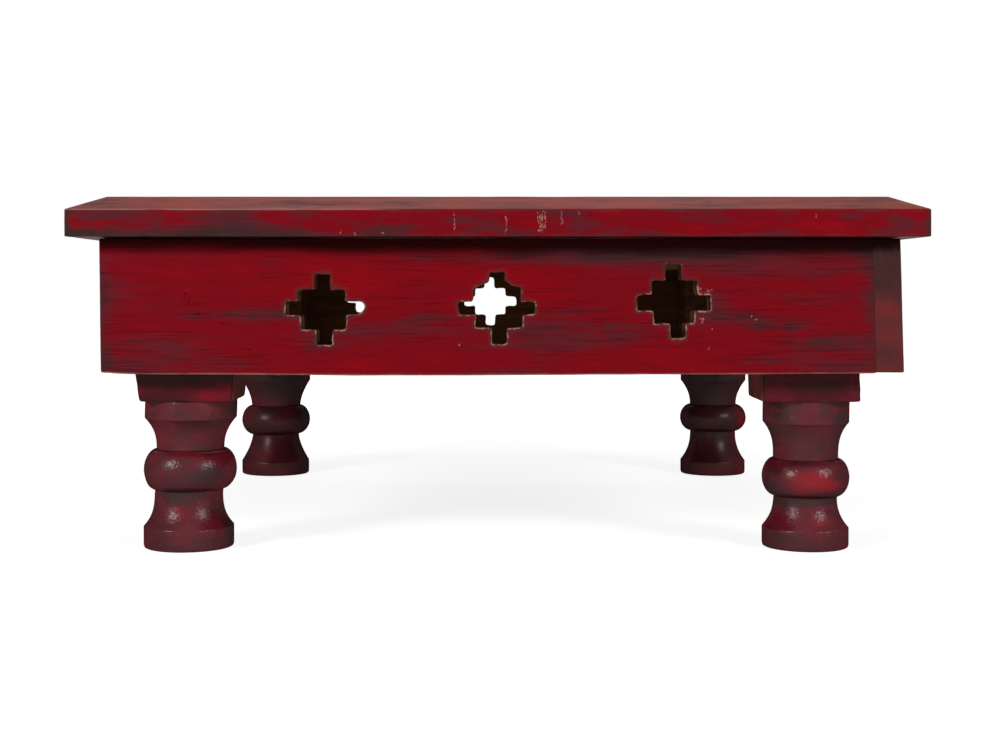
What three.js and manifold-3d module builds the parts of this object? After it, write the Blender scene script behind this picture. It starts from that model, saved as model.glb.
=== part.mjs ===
// A square low table of painted wood, built as separate pieces in millimetres.
// A plank top with a bevelled rim lies on a frame of four boards pierced with stepped crosses.
// Each board covers the end of the next one round the frame, like a pinwheel, and a turned
// leg with a square head fills each inside corner. Two battens hold the planks together.
// X runs to the right, Y to the back and Z up. The origin is on the floor, under the middle.

import * as THREE from "three";
import { ConvexGeometry } from "three/addons/geometries/ConvexGeometry.js";
import { mergeVertices } from "three/addons/utils/BufferGeometryUtils.js";
import Module from "manifold-3d";

const wasm = await Module();
wasm.setup();

// Tabletop
const TOP_WIDTH = 600; // left to right
const TOP_DEPTH = 600; // front to back
const RIM_HEIGHT = 19.5; // upright edge below the bevel
const BEVEL_RISE = 10;
const BEVEL_INSET = 24;
const PLANK_COUNT = 5; // planks run left to right

// Frame under the top
const OVERHANG = 18; // from the top's edge in to the frame
const BOARD_HEIGHT = 96;
const BOARD_THICKNESS = 20;
const FLOOR_TO_BOARD = 129;

// Stepped crosses sawn through the boards
const CROSS_SPAN = 55; // across the two side arms
const CROSS_RISE = 50.5; // from the top arm to the bottom arm
const SHOULDER_SPAN = 33; // the wide step in the middle
const SHOULDER_RISE = 29;
const ARM_WIDTH = 10; // width of each of the four arms
const CROSS_END_MARGIN = 13.5; // kept beside each leg head, the rest is shared by the crosses
const CROSS_DROP = 2; // centre below the middle of the board's height

// How far each cross was sawn off its place, along the board and up, from left to right
const CROSS_DRIFT = {
  front: [[-2, 0], [-1, 1], [3.5, 6]],
  right: [[-1, 0], [1, 2], [1.5, 1]],
  back: [[1, -1], [3.5, 1], [-2, -3]],
  left: [[0, 2], [-2, 0], [2, 1]],
};

// Legs
const BLOCK_SIDE = 68; // the square head
const BLOCK_DROP = 21; // how much of it shows below the boards
const COLLAR_HEIGHT = 13.5;
const COVE_DEPTH = 9; // how deep the coves above and below the ring are cut
const RING_HEIGHT = 32;
const FOOT_HEIGHT = 15.5;
const FOOT_ARRIS = 2; // bevel of the sole's edge
const LATHE_SIDES = 32;
const COVE_STEPS = 5;
const RING_STEPS = 10;

// Each leg was turned by eye: its largest radius, and how far its ring sits above the middle
// of its free height, as a share of that height
const TURNING = {
  front_left: { girth: 33.2, ringRise: 0.03 },
  front_right: { girth: 31.6, ringRise: -0.09 },
  back_right: { girth: 32.8, ringRise: 0.05 },
  back_left: { girth: 33.8, ringRise: 0 },
};

// Battens under the planks
const BATTEN_WIDTH = 40;
const BATTEN_THICKNESS = 18;
const BATTEN_TO_BLOCK = 24; // room between a batten and the leg heads beside it

// Nails through the boards, with their heads punched below the face
const NAIL_BITE = 25; // depth in the piece behind the board
const NAIL_RADIUS = 1.5;
const NAIL_HEAD_RADIUS = 2.8;
const NAIL_HEAD_THICKNESS = 1.2;
const NAIL_POINT = 4;
const NAIL_SINK = 1;
const NAIL_SIDES = 8;

// Distances of the lower nails from the board's lower edge, and of the upper ones from its
// upper edge, staggered so that none meet in a corner
const NAILS_LEFT_END = { lower: 18, upper: 41 };
const NAILS_RIGHT_END = { lower: 30, upper: 16 };
const NAILS_CORNER = { lower: 12, upper: 34 };

// Countersunk screws up through the battens into the planks
const SCREW_BITE = 16; // depth in the plank
const SCREW_RADIUS = 2;
const SCREW_HEAD_RADIUS = 4;
const SCREW_HEAD_HEIGHT = 2.6;
const SCREW_POINT = 5;
const SCREW_SINK = 0.5;

// Gap left at every joint and round every fastener
const JOINT = 0.3;

// Places worked out from the sizes above
const FRAME_WIDTH = TOP_WIDTH - 2 * OVERHANG;
const FRAME_DEPTH = TOP_DEPTH - 2 * OVERHANG;
const FRAME_TOP = FLOOR_TO_BOARD + BOARD_HEIGHT;
const TOP_UNDERSIDE = FRAME_TOP + JOINT;
const TOP_THICKNESS = RIM_HEIGHT + BEVEL_RISE;
const BLOCK_BOTTOM = FLOOR_TO_BOARD - BLOCK_DROP;
const BATTEN_TOP = TOP_UNDERSIDE - JOINT;
const BATTEN_BOTTOM = BATTEN_TOP - BATTEN_THICKNESS;
const BATTEN_LENGTH = FRAME_DEPTH - 2 * (BOARD_THICKNESS + JOINT);
const BLOCK_INSET = BOARD_THICKNESS + JOINT; // from the frame's face in to a leg's head
const BATTEN_PLACE = FRAME_WIDTH / 2 - BLOCK_INSET - BLOCK_SIDE - BATTEN_TO_BLOCK - BATTEN_WIDTH / 2;
const NAIL_LENGTH = BOARD_THICKNESS - NAIL_SINK + JOINT + NAIL_BITE;
const SCREW_LENGTH = BATTEN_THICKNESS - SCREW_SINK + JOINT + SCREW_BITE;
const PLANK_WIDTH = TOP_DEPTH / PLANK_COUNT;

// The four sides in turn, anticlockwise from the front. Each carries its board and the leg
// at that board's left end, seen from outside.
const SIDES = [
  { name: "front", leg: "front_left", run: FRAME_WIDTH, reach: FRAME_DEPTH / 2 },
  { name: "right", leg: "front_right", run: FRAME_DEPTH, reach: FRAME_WIDTH / 2 },
  { name: "back", leg: "back_right", run: FRAME_WIDTH, reach: FRAME_DEPTH / 2 },
  { name: "left", leg: "back_left", run: FRAME_DEPTH, reach: FRAME_WIDTH / 2 },
];

// Finishes
const redPaint = new THREE.MeshStandardMaterial({ color: 0x7a1018, roughness: 0.45 });
const darkPaint = new THREE.MeshStandardMaterial({ color: 0x4a1c20, roughness: 0.4 });
const darkStain = new THREE.MeshStandardMaterial({ color: 0x2a170e, roughness: 0.75 });
const steel = new THREE.MeshStandardMaterial({ color: 0x6d6a66, roughness: 0.5, metalness: 1 });

// A closed three.js geometry as a solid that can be joined and cut
function solid(geometry) {
  const loose = geometry.index ? geometry.toNonIndexed() : geometry;
  const bare = new THREE.BufferGeometry();
  bare.setAttribute("position", loose.getAttribute("position"));
  const merged = mergeVertices(bare, 1e-4);
  const mesh = new wasm.Mesh({
    numProp: 3,
    vertProperties: merged.attributes.position.array,
    triVerts: new Uint32Array(merged.index.array),
  });
  return new wasm.Manifold(mesh);
}

// A solid back as a three.js geometry with flat faces
function geometryOf(body) {
  const mesh = body.getMesh();
  const points = new Float32Array(mesh.numVert * 3);
  for (let i = 0; i < mesh.numVert; i++) {
    const start = i * mesh.numProp;
    points.set(mesh.vertProperties.subarray(start, start + 3), i * 3);
  }
  const shared = new THREE.BufferGeometry();
  shared.setAttribute("position", new THREE.BufferAttribute(points, 3));
  shared.setIndex(new THREE.BufferAttribute(mesh.triVerts, 1));
  const flat = shared.toNonIndexed();
  flat.computeVertexNormals();
  return flat;
}

// A box between two corners
function box(low, high) {
  const size = high.map((value, axis) => value - low[axis]);
  const middle = high.map((value, axis) => (value + low[axis]) / 2);
  return new THREE.BoxGeometry(...size).translate(...middle);
}

// A profile of [radius, height] points turned about Z
function turned(points, sides) {
  const profile = points.map(([radius, height]) => new THREE.Vector2(radius, height));
  return new THREE.LatheGeometry(profile, sides).rotateX(Math.PI / 2);
}

function place(group, name, geometry, material) {
  const mesh = new THREE.Mesh(geometry, material);
  mesh.name = name;
  group.add(mesh);
  return mesh;
}

// Points on a part of an ellipse in a profile, after its first point. Angles count from the
// radius's own direction towards the height's, in quarter turns.
function arc(centre, reach, fromQuarter, toQuarter, steps) {
  return Array.from({ length: steps }, (_, index) => {
    const quarter = fromQuarter + ((toQuarter - fromQuarter) * (index + 1)) / steps;
    const angle = (quarter * Math.PI) / 2;
    return [centre[0] + reach[0] * Math.cos(angle), centre[1] + reach[1] * Math.sin(angle)];
  });
}

// Fasteners are made with the head at the origin and the point up the Z axis.
// With a clearance, the same outline is the hole that holds the fastener.
function nailBody(clearance = 0) {
  const headEnd = NAIL_HEAD_THICKNESS + clearance;
  const start = clearance ? -NAIL_SINK - 1 : 0;
  const tip = NAIL_LENGTH + clearance;
  return turned(
    [
      [0, start],
      [NAIL_HEAD_RADIUS + clearance, start],
      [NAIL_HEAD_RADIUS + clearance, headEnd],
      [NAIL_RADIUS + clearance, headEnd],
      [NAIL_RADIUS + clearance, tip - NAIL_POINT],
      [0, tip],
    ],
    NAIL_SIDES,
  );
}

function screwBody(clearance = 0) {
  const start = clearance ? -SCREW_SINK - 1 : 0;
  const tip = SCREW_LENGTH + clearance;
  const rim = SCREW_HEAD_RADIUS + clearance;
  return turned(
    [
      [0, start],
      [rim, start],
      [rim, 0.4 * SCREW_HEAD_HEIGHT],
      [SCREW_RADIUS + clearance, SCREW_HEAD_HEIGHT],
      [SCREW_RADIUS + clearance, tip - SCREW_POINT],
      [0, tip],
    ],
    NAIL_SIDES,
  );
}

// The nails of one side, each with its place along the board, its height above the floor
// and the piece that its point goes into
function nailsOf(side) {
  const legLine = side.run / 2 - BLOCK_INSET - BLOCK_SIDE / 2;
  const cornerLine = side.run / 2 - BOARD_THICKNESS / 2;
  const rows = [
    { end: "left", along: -legLine, heights: NAILS_LEFT_END, into: "own leg" },
    { end: "right", along: legLine, heights: NAILS_RIGHT_END, into: "next leg" },
    { end: "corner", along: -cornerLine, heights: NAILS_CORNER, into: "last board" },
  ];
  const nails = rows.flatMap(({ end, along, heights, into }) =>
    Object.entries(heights).map(([level, edge]) => ({
      name: `nail_${side.name}_${end}_${level}`,
      along,
      height: level === "lower" ? FLOOR_TO_BOARD + edge : FRAME_TOP - edge,
      into,
    })),
  );
  if (side.name === "front" || side.name === "back") {
    // These enter a batten's end halfway between its row of screws and its outer edge
    for (const [end, sign] of [["left", -1], ["right", 1]]) {
      nails.push({
        name: `nail_${side.name}_batten_${end}`,
        along: sign * (BATTEN_PLACE + BATTEN_WIDTH / 4),
        height: (BATTEN_TOP + BATTEN_BOTTOM) / 2,
        into: "batten",
      });
    }
  }
  return nails;
}

// A nail or its hole, driven inwards through a side's board, in that side's own frame
function driven(geometry, side, nail) {
  return geometry
    .rotateX(-Math.PI / 2)
    .translate(nail.along, -side.reach + NAIL_SINK, nail.height);
}

// Half of the cross's outline steps, mirrored into the whole
function crossOutline(x, z) {
  const across = [ARM_WIDTH / 2, SHOULDER_SPAN / 2, CROSS_SPAN / 2];
  const up = [CROSS_RISE / 2, SHOULDER_RISE / 2, ARM_WIDTH / 2];
  const quarter = [];
  across.forEach((half, step) => {
    quarter.push([half, up[step]]);
    if (step < 2) quarter.push([half, up[step + 1]]);
  });
  const mirrored = (signX, signZ) => quarter.map(([a, b]) => [signX * a, signZ * b]);
  const round = [
    ...mirrored(1, 1),
    ...mirrored(1, -1).reverse(),
    ...mirrored(-1, -1),
    ...mirrored(-1, 1).reverse(),
  ];
  return new THREE.Path(round.map(([a, b]) => new THREE.Vector2(x + a, z + b)));
}

// One pierced board, in its side's own frame, with holes for its own nails and for the
// nails that the next side drives into its right end
function boardBody(side, nextSide) {
  const left = -side.run / 2;
  const right = side.run / 2 - BOARD_THICKNESS - JOINT;
  const outline = new THREE.Shape([
    new THREE.Vector2(left, 0),
    new THREE.Vector2(right, 0),
    new THREE.Vector2(right, BOARD_HEIGHT),
    new THREE.Vector2(left, BOARD_HEIGHT),
  ]);
  const drifts = CROSS_DRIFT[side.name];
  const shared = side.run - 2 * (BLOCK_INSET + BLOCK_SIDE + CROSS_END_MARGIN);
  drifts.forEach(([driftAlong, driftUp], index) => {
    const along = ((index - (drifts.length - 1) / 2) * shared) / drifts.length;
    const up = BOARD_HEIGHT / 2 - CROSS_DROP;
    outline.holes.push(crossOutline(along + driftAlong, up + driftUp));
  });
  const plain = new THREE.ExtrudeGeometry(outline, { depth: BOARD_THICKNESS, bevelEnabled: false })
    .rotateX(Math.PI / 2)
    .translate(0, -side.reach + BOARD_THICKNESS, FLOOR_TO_BOARD);
  let body = solid(plain);
  for (const nail of nailsOf(side)) {
    body = body.subtract(solid(driven(nailBody(JOINT), side, nail)));
  }
  for (const nail of nailsOf(nextSide).filter(({ into }) => into === "last board")) {
    const hole = driven(nailBody(JOINT), nextSide, nail).rotateZ(Math.PI / 2);
    body = body.subtract(solid(hole));
  }
  return body;
}

// The turned part of a leg, from the sole up into the square head
function turnedPart({ girth, ringRise }) {
  const collarBottom = BLOCK_BOTTOM - COLLAR_HEIGHT;
  const free = collarBottom - FOOT_HEIGHT - RING_HEIGHT;
  const ring = (collarBottom + FOOT_HEIGHT) / 2 + ringRise * free;
  const ringBottom = ring - RING_HEIGHT / 2;
  const ringTop = ring + RING_HEIGHT / 2;
  const neck = girth - COVE_DEPTH;
  const insideHead = BLOCK_BOTTOM + COLLAR_HEIGHT;
  return turned(
    [
      [0, 0],
      [girth - FOOT_ARRIS, 0],
      [girth, FOOT_ARRIS],
      [girth, FOOT_HEIGHT],
      ...arc([girth, ringBottom], [COVE_DEPTH, ringBottom - FOOT_HEIGHT], -1, -2, COVE_STEPS),
      ...arc([neck, ring], [COVE_DEPTH, RING_HEIGHT / 2], -1, 1, RING_STEPS),
      ...arc([girth, ringTop], [COVE_DEPTH, collarBottom - ringTop], 2, 1, COVE_STEPS),
      [girth, insideHead],
      [0, insideHead],
    ],
    LATHE_SIDES,
  );
}

// A whole leg about its own axis
function legBody(side, lastSide) {
  const half = BLOCK_SIDE / 2;
  const block = box([-half, -half, BLOCK_BOTTOM], [half, half, FRAME_TOP]);
  let body = solid(block).add(solid(turnedPart(TURNING[side.leg])));
  const inset = BLOCK_INSET + half;
  for (const nail of nailsOf(side).filter(({ into }) => into === "own leg")) {
    const hole = driven(nailBody(JOINT), side, nail);
    body = body.subtract(solid(hole.translate(side.run / 2 - inset, side.reach - inset, 0)));
  }
  for (const nail of nailsOf(lastSide).filter(({ into }) => into === "next leg")) {
    const hole = driven(nailBody(JOINT), lastSide, nail);
    hole.translate(-lastSide.run / 2 + inset, lastSide.reach - inset, 0).rotateZ(-Math.PI / 2);
    body = body.subtract(solid(hole));
  }
  return body;
}

// One side of the frame as a turned group: its board, the leg at its left end and its nails
function sideGroup(index) {
  const side = SIDES[index];
  const nextSide = SIDES[(index + 1) % SIDES.length];
  const lastSide = SIDES[(index + SIDES.length - 1) % SIDES.length];
  const group = new THREE.Group();
  group.rotation.z = (index * Math.PI) / 2;
  place(group, `board_${side.name}`, geometryOf(boardBody(side, nextSide)), redPaint);
  const leg = place(group, `leg_${side.leg}`, geometryOf(legBody(side, lastSide)), darkPaint);
  const inset = BLOCK_INSET + BLOCK_SIDE / 2;
  leg.position.set(-side.run / 2 + inset, -side.reach + inset, 0);
  for (const nail of nailsOf(side)) {
    place(group, nail.name, driven(nailBody(), side, nail), steel);
  }
  return group;
}

// The screws of one batten, one for each plank, in the table's frame
function screwsOf(batten) {
  return Array.from({ length: PLANK_COUNT }, (_, index) => ({
    name: `screw_${batten.name}_${index + 1}`,
    x: batten.x,
    y: (index + 0.5) * PLANK_WIDTH - TOP_DEPTH / 2,
  }));
}

function screwAt(screw, clearance) {
  return screwBody(clearance).translate(screw.x, screw.y, BATTEN_BOTTOM + SCREW_SINK);
}

const BATTENS = [
  { name: "left", x: -BATTEN_PLACE },
  { name: "right", x: BATTEN_PLACE },
];

// The whole top with its bevelled rim, before it is cut into planks
function topBlank() {
  const corners = (inset, height) =>
    [-1, 1].flatMap((signX) =>
      [-1, 1].map(
        (signY) =>
          new THREE.Vector3(
            signX * (TOP_WIDTH / 2 - inset),
            signY * (TOP_DEPTH / 2 - inset),
            TOP_UNDERSIDE + height,
          ),
      ),
    );
  return new ConvexGeometry([
    ...corners(0, 0),
    ...corners(0, RIM_HEIGHT),
    ...corners(BEVEL_INSET, TOP_THICKNESS),
  ]);
}

function topGroup() {
  const group = new THREE.Group();
  const blank = solid(topBlank());
  for (let index = 0; index < PLANK_COUNT; index++) {
    const front = index * PLANK_WIDTH - TOP_DEPTH / 2;
    const low = [-TOP_WIDTH, front + (index ? JOINT / 2 : 0), 0];
    const isLast = index === PLANK_COUNT - 1;
    const high = [TOP_WIDTH, front + PLANK_WIDTH - (isLast ? 0 : JOINT / 2), 2 * TOP_UNDERSIDE];
    let plank = blank.intersect(solid(box(low, high)));
    for (const batten of BATTENS) {
      plank = plank.subtract(solid(screwAt(screwsOf(batten)[index], JOINT)));
    }
    place(group, `top_plank_${index + 1}`, geometryOf(plank), redPaint);
  }
  return group;
}

function battenGroup() {
  const group = new THREE.Group();
  const battenNails = SIDES.flatMap((side, index) =>
    nailsOf(side)
      .filter(({ into }) => into === "batten")
      .map((nail) => driven(nailBody(JOINT), side, nail).rotateZ((index * Math.PI) / 2)),
  );
  for (const batten of BATTENS) {
    const low = [batten.x - BATTEN_WIDTH / 2, -BATTEN_LENGTH / 2, BATTEN_BOTTOM];
    const high = [batten.x + BATTEN_WIDTH / 2, BATTEN_LENGTH / 2, BATTEN_TOP];
    let body = solid(box(low, high));
    for (const hole of battenNails) body = body.subtract(solid(hole));
    for (const screw of screwsOf(batten)) {
      body = body.subtract(solid(screwAt(screw, JOINT)));
      place(group, screw.name, screwAt(screw), steel);
    }
    place(group, `batten_${batten.name}`, geometryOf(body), darkStain);
  }
  return group;
}

const table = new THREE.Group();
table.name = "low_table";
table.add(topGroup(), battenGroup());
SIDES.forEach((_, index) => table.add(sideGroup(index)));

export default table;
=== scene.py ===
# %% [markdown]
# # A low table in worn red paint
# The table has a thick top of five planks on a box of four boards. Each board is pierced with
# three stepped crosses, and a turned leg stands in each corner of the box. The whole table was
# painted black, then red, and rubbed back so that the black shows at the edges.
# The table's lengths are in millimetres, and each mesh is scaled to metres when it is made. The
# lamps and the glow of the floor are placed in metres.

# %% Load the fixed frame
import math
import random

import bpy
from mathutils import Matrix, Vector, kdtree, noise
from mathutils.geometry import delaunay_2d_cdt


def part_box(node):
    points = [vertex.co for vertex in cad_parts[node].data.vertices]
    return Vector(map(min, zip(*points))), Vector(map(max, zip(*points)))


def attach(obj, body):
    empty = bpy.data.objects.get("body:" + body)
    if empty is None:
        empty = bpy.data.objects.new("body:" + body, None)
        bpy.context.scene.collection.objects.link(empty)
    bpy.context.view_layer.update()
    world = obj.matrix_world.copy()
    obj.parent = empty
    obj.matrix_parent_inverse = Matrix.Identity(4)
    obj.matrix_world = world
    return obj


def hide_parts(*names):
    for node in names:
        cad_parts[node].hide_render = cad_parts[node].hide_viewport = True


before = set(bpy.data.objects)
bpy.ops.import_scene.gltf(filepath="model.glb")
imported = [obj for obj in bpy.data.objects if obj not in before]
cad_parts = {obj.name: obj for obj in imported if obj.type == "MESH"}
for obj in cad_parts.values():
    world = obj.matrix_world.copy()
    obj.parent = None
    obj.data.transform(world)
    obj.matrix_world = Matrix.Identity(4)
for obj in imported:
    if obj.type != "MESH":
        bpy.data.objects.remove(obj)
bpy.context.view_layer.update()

MM = 0.001
print("nodes in the frame:", len(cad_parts))

# %% [markdown]
# ## Where the picture is taken from
# A camera can be tilted down at a table, or held level and shifted like a view camera. A level
# one keeps the legs upright and parallel in the picture, as they are here, so it stands at the
# height of the boards and its lens is shifted instead of tilted.

# %% Camera
EYE_MM = Vector((-9.6, -1371, 189.7))
LENS = 55.8
SHIFT = (0.016, -0.0866)

camera_data = bpy.data.cameras.new("camera")
camera_data.lens = LENS
camera_data.sensor_width = 36
camera_data.shift_x, camera_data.shift_y = SHIFT
camera = bpy.data.objects.new("camera", camera_data)
camera.location = EYE_MM * MM
camera.rotation_euler = (math.radians(90), 0, 0)
bpy.context.collection.objects.link(camera)
bpy.context.scene.camera = camera
print("camera height in mm:", EYE_MM.z)

# %% [markdown]
# ## Shader helpers
# A material is a graph of nodes. A few small helpers keep the graphs readable: one makes a node
# and fills its sockets, one does arithmetic, and one lays a colour over another through a mask.

# %% Node helpers
def node(tree, kind, inputs=None, **settings):
    made = tree.nodes.new(kind)
    for key, value in settings.items():
        setattr(made, key, value)
    for key, value in (inputs or {}).items():
        socket = made.inputs[key]
        if isinstance(value, bpy.types.NodeSocket):
            tree.links.new(value, socket)
        else:
            socket.default_value = value
    return made


def calc(tree, operation, *values):
    inputs = dict(enumerate(values))
    return node(tree, "ShaderNodeMath", inputs, operation=operation).outputs[0]


def mixed(tree, factor, first, second):
    inputs = {0: factor, 6: first, 7: second}
    return node(tree, "ShaderNodeMix", inputs, data_type="RGBA").outputs[2]


def laid_over(tree, colour, mask, amount, coat):
    return mixed(tree, calc(tree, "MULTIPLY", mask, amount), colour, coat)


def smooth_step(tree, value, low, high):
    inputs = {"Value": value, "From Min": low, "From Max": high}
    made = node(tree, "ShaderNodeMapRange", inputs, interpolation_type="SMOOTHSTEP")
    return made.outputs["Result"]


def ranged(tree, value, low, high):
    inputs = {"Value": value, "To Min": low, "To Max": high}
    return node(tree, "ShaderNodeMapRange", inputs).outputs["Result"]


def attribute(tree, name):
    return node(tree, "ShaderNodeAttribute", attribute_name=name).outputs["Fac"]


def stretched_noise(tree, place, stretch, scale=1.0, detail=4, rough=0.6):
    scaled = node(tree, "ShaderNodeVectorMath", {0: place, 1: stretch}, operation="MULTIPLY")
    inputs = {"Vector": scaled.outputs[0], "Scale": scale, "Detail": detail, "Roughness": rough}
    return node(tree, "ShaderNodeTexNoise", inputs).outputs["Fac"]


# %% [markdown]
# ## Shared effects
# Brush marks, blotches and rubbed edges are on several finishes, so each is a node group that is
# built once. A group takes places and strengths and puts out a mask, and each material decides
# what the mask does.

# %% Group maker
FLOAT = "NodeSocketFloat"
VECTOR = "NodeSocketVector"


def new_group(name, inputs, outputs):
    group = bpy.data.node_groups.new(name, "ShaderNodeTree")
    for label, value in inputs.items():
        kind = FLOAT if isinstance(value, float) else VECTOR
        socket = group.interface.new_socket(label, in_out="INPUT", socket_type=kind)
        socket.default_value = value
    for label in outputs:
        group.interface.new_socket(label, in_out="OUTPUT", socket_type=FLOAT)
    return group, node(group, "NodeGroupInput").outputs, node(group, "NodeGroupOutput").inputs


def use(tree, group, **inputs):
    made = node(tree, "ShaderNodeGroup")
    made.node_tree = group
    for key, value in inputs.items():
        socket = made.inputs[key]
        if isinstance(value, bpy.types.NodeSocket):
            tree.links.new(value, socket)
        else:
            socket.default_value = value
    return made.outputs


# %% [markdown]
# A brush leaves long thin ridges. Noise that is stretched along the stroke looks the same. Three
# of them give the clouds where the paint lies thick or thin, the bands of the brush and its hairs.

# %% Brush marks
brush_group, arrives, leaves = new_group(
    "brush_marks",
    {"Place": (0, 0, 0), "Clouds": (6, 24, 24), "Bands": (14, 230, 230), "Hairs": (26, 900, 900)},
    ["Clouds", "Bands", "Hairs"],
)
tree = brush_group
STROKES = (("Clouds", 6, 0.36, 0.64), ("Bands", 4, 0.3, 0.7), ("Hairs", 3, 0.3, 0.7))
for label, detail, low, high in STROKES:
    strokes = stretched_noise(tree, arrives["Place"], arrives[label], 1.0, detail)
    tree.links.new(smooth_step(tree, strokes, low, high), leaves[label])

# %% [markdown]
# Where the cloth rubbed harder, or the black was never covered, the red is blotched. The mask
# grows with a tone that is painted on the mesh, and noise breaks up its border.

# %% Blotches
blotch_group, arrives, leaves = new_group(
    "blotches",
    {"Place": (0, 0, 0), "Stretch": (8, 30, 30), "Tone": 0.0, "Cover": 0.62, "Softness": 0.1},
    ["Mask"],
)
tree = blotch_group
cloud = stretched_noise(tree, arrives["Place"], arrives["Stretch"], 1.0, 6, 0.62)
level = calc(tree, "ADD", cloud, arrives["Tone"])
low = calc(tree, "SUBTRACT", arrives["Cover"], arrives["Softness"])
high = calc(tree, "ADD", arrives["Cover"], arrives["Softness"])
tree.links.new(smooth_step(tree, level, low, high), leaves["Mask"])

# %% [markdown]
# Edges rub through first. Each mesh carries a value from 0 to 1 that rises towards its arrises,
# and noise breaks the line up so that the rubbing comes and goes along the edge.

# %% Rubbed edges
rub_group, arrives, leaves = new_group(
    "rubbed_edges",
    {"Place": (0, 0, 0), "Edge": 0.0, "Scale": 120.0, "Breakup": 1.2, "Threshold": 0.75,
     "Softness": 0.12},
    ["Mask"],
)
tree = rub_group
inputs = {"Vector": arrives["Place"], "Scale": arrives["Scale"], "Detail": 5, "Roughness": 0.65}
grit = node(tree, "ShaderNodeTexNoise", inputs).outputs["Fac"]
centred = calc(tree, "SUBTRACT", grit, 0.5)
shaken = calc(tree, "MULTIPLY_ADD", centred, arrives["Breakup"], arrives["Edge"])
low = calc(tree, "SUBTRACT", arrives["Threshold"], arrives["Softness"])
high = calc(tree, "ADD", arrives["Threshold"], arrives["Softness"])
tree.links.new(smooth_step(tree, shaken, low, high), leaves["Mask"])

# %% [markdown]
# Things that were dragged over the rim left short pale scratches. One scratch is a thin upright
# line that wavers and breaks, at its own place along the rim.

# %% Scratches
scratch_group, arrives, leaves = new_group(
    "scratch", {"Place": (0, 0, 0), "Across": 0.0, "Low": 0.0, "High": 0.0, "Width": 0.0005}, ["Mask"]
)
tree = scratch_group
parts = node(tree, "ShaderNodeSeparateXYZ", {0: arrives["Place"]}).outputs
waver = stretched_noise(tree, arrives["Place"], (300, 300, 260), 1.0, 3)
waver = calc(tree, "MULTIPLY", calc(tree, "SUBTRACT", waver, 0.5), 0.006)
aside = calc(tree, "SUBTRACT", calc(tree, "ADD", parts["X"], waver), arrives["Across"])
thin = calc(tree, "SUBTRACT", 1.0, calc(tree, "DIVIDE", calc(tree, "ABSOLUTE", aside), arrives["Width"]))
breaks = stretched_noise(tree, arrives["Place"], (900, 900, 600), 1.0, 3)
thin = calc(tree, "MULTIPLY", smooth_step(tree, thin, 0.0, 0.7), smooth_step(tree, breaks, 0.45, 0.55))
above = calc(tree, "GREATER_THAN", parts["Z"], arrives["Low"])
below = calc(tree, "LESS_THAN", parts["Z"], arrives["High"])
thin = calc(tree, "MULTIPLY", thin, calc(tree, "MULTIPLY", above, below))
tree.links.new(thin, leaves["Mask"])
print("shared groups:", [group.name for group in bpy.data.node_groups])

# %% [markdown]
# ## Paint
# Under the red lies black, and under the black the pale wood, so the colour is built in that
# order: red with brush marks, black blotches, rubbed black edges and then chips down to the wood.
# Faces that nobody sees from outside were left in dark stain. The paint has next to no gloss, so
# its specular level is low.

# %% Colours
RED = (0.19, 0.0035, 0.0085, 1)
RED_BRIGHT = (0.26, 0.003, 0.0068, 1)
RED_DEEP = (0.125, 0.0105, 0.018, 1)
UNDERCOAT = (0.042, 0.021, 0.02, 1)
RUBBED = (0.075, 0.028, 0.026, 1)
# Near-black red of dirt, dark brush hairs and knots, and of the painted shade under the top
GRIME_AND_SHADE = (0.014, 0.0025, 0.0022, 1)
DUST = (0.3, 0.128, 0.096, 1)
# Pale pink of thin lines along some arrises and ledges
PALE_LINE = (0.45, 0.23, 0.19, 1)
BARE_WOOD = (0.48, 0.25, 0.215, 1)
STAIN = (0.07, 0.025, 0.009, 1)
STAIN_LIGHT = (0.115, 0.045, 0.017, 1)
STAIN_DARK = (0.014, 0.005, 0.0018, 1)
STAIN_LINES = (0.006, 0.003, 0.001, 1)
STEEL = (0.24, 0.22, 0.2, 1)
STEEL_BROWN = (0.07, 0.045, 0.035, 1)
LEG_RED = (0.12, 0.009, 0.016, 1)
LEG_DEEP = (0.06, 0.0085, 0.012, 1)
LEG_BRIGHT = (0.28, 0.004, 0.011, 1)
LEG_BLACK = (0.027, 0.0125, 0.01, 1)
# How far each kind of wear, and the painted shade under the top, covers the paint, on flat wood
# and on the legs
WEAR = {"dust": 0.36, "black": 0.7, "rubbed": 0.78, "knot": 0.75, "grime_and_shade": 0.9, "line": 0.48, "chip": 0.7}
LEG_WEAR = {"bright": 0.85, "black": 0.8, "hairs": 0.16, "rubbed": 0.6, "line": 0.45, "chip": 0.5}
# Scale, breakup, threshold and softness of what is rubbed off at each kind of edge
RUBS = {"edge": (60, 1.5, 0.68, 0.34), "line": (45, 0.9, 0.55, 0.3), "chip": (260, 2.4, 0.8, 0.2)}
LEG_RUBS = {"edge": (110, 1.2, 0.8, 0.16), "line": (60, 1.4, 0.75, 0.25), "chip": (260, 1.5, 0.95, 0.14)}
PAINT_LEVEL = 0.02
# Weight and roughness of the wax, and how strongly its ripples break up a highlight
FRONT_WAX = (0.5, 0.26, 0.7)
BACK_WAX = (0.32, 0.32, 0.3)
HEAD_WAX = (0.12, 0.26, 0.6)


# %% [markdown]
# Every finish starts alike, with one Principled shader and the places of the piece's own points,
# so the paint stays on the wood wherever the table is put. Rubbing is asked for by the name of the
# edge that it follows.

# %% Start of a material
def new_material(name):
    material = bpy.data.materials.new(name)
    material.use_nodes = True
    tree = material.node_tree
    tree.nodes.clear()
    shader = node(tree, "ShaderNodeBsdfPrincipled")
    output = node(tree, "ShaderNodeOutputMaterial")
    tree.links.new(shader.outputs[0], output.inputs[0])
    place = node(tree, "ShaderNodeTexCoord").outputs["Object"]
    return material, tree, shader, place


def along(axis, stroke, across):
    return tuple(stroke if index == axis else across for index in range(3))


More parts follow.
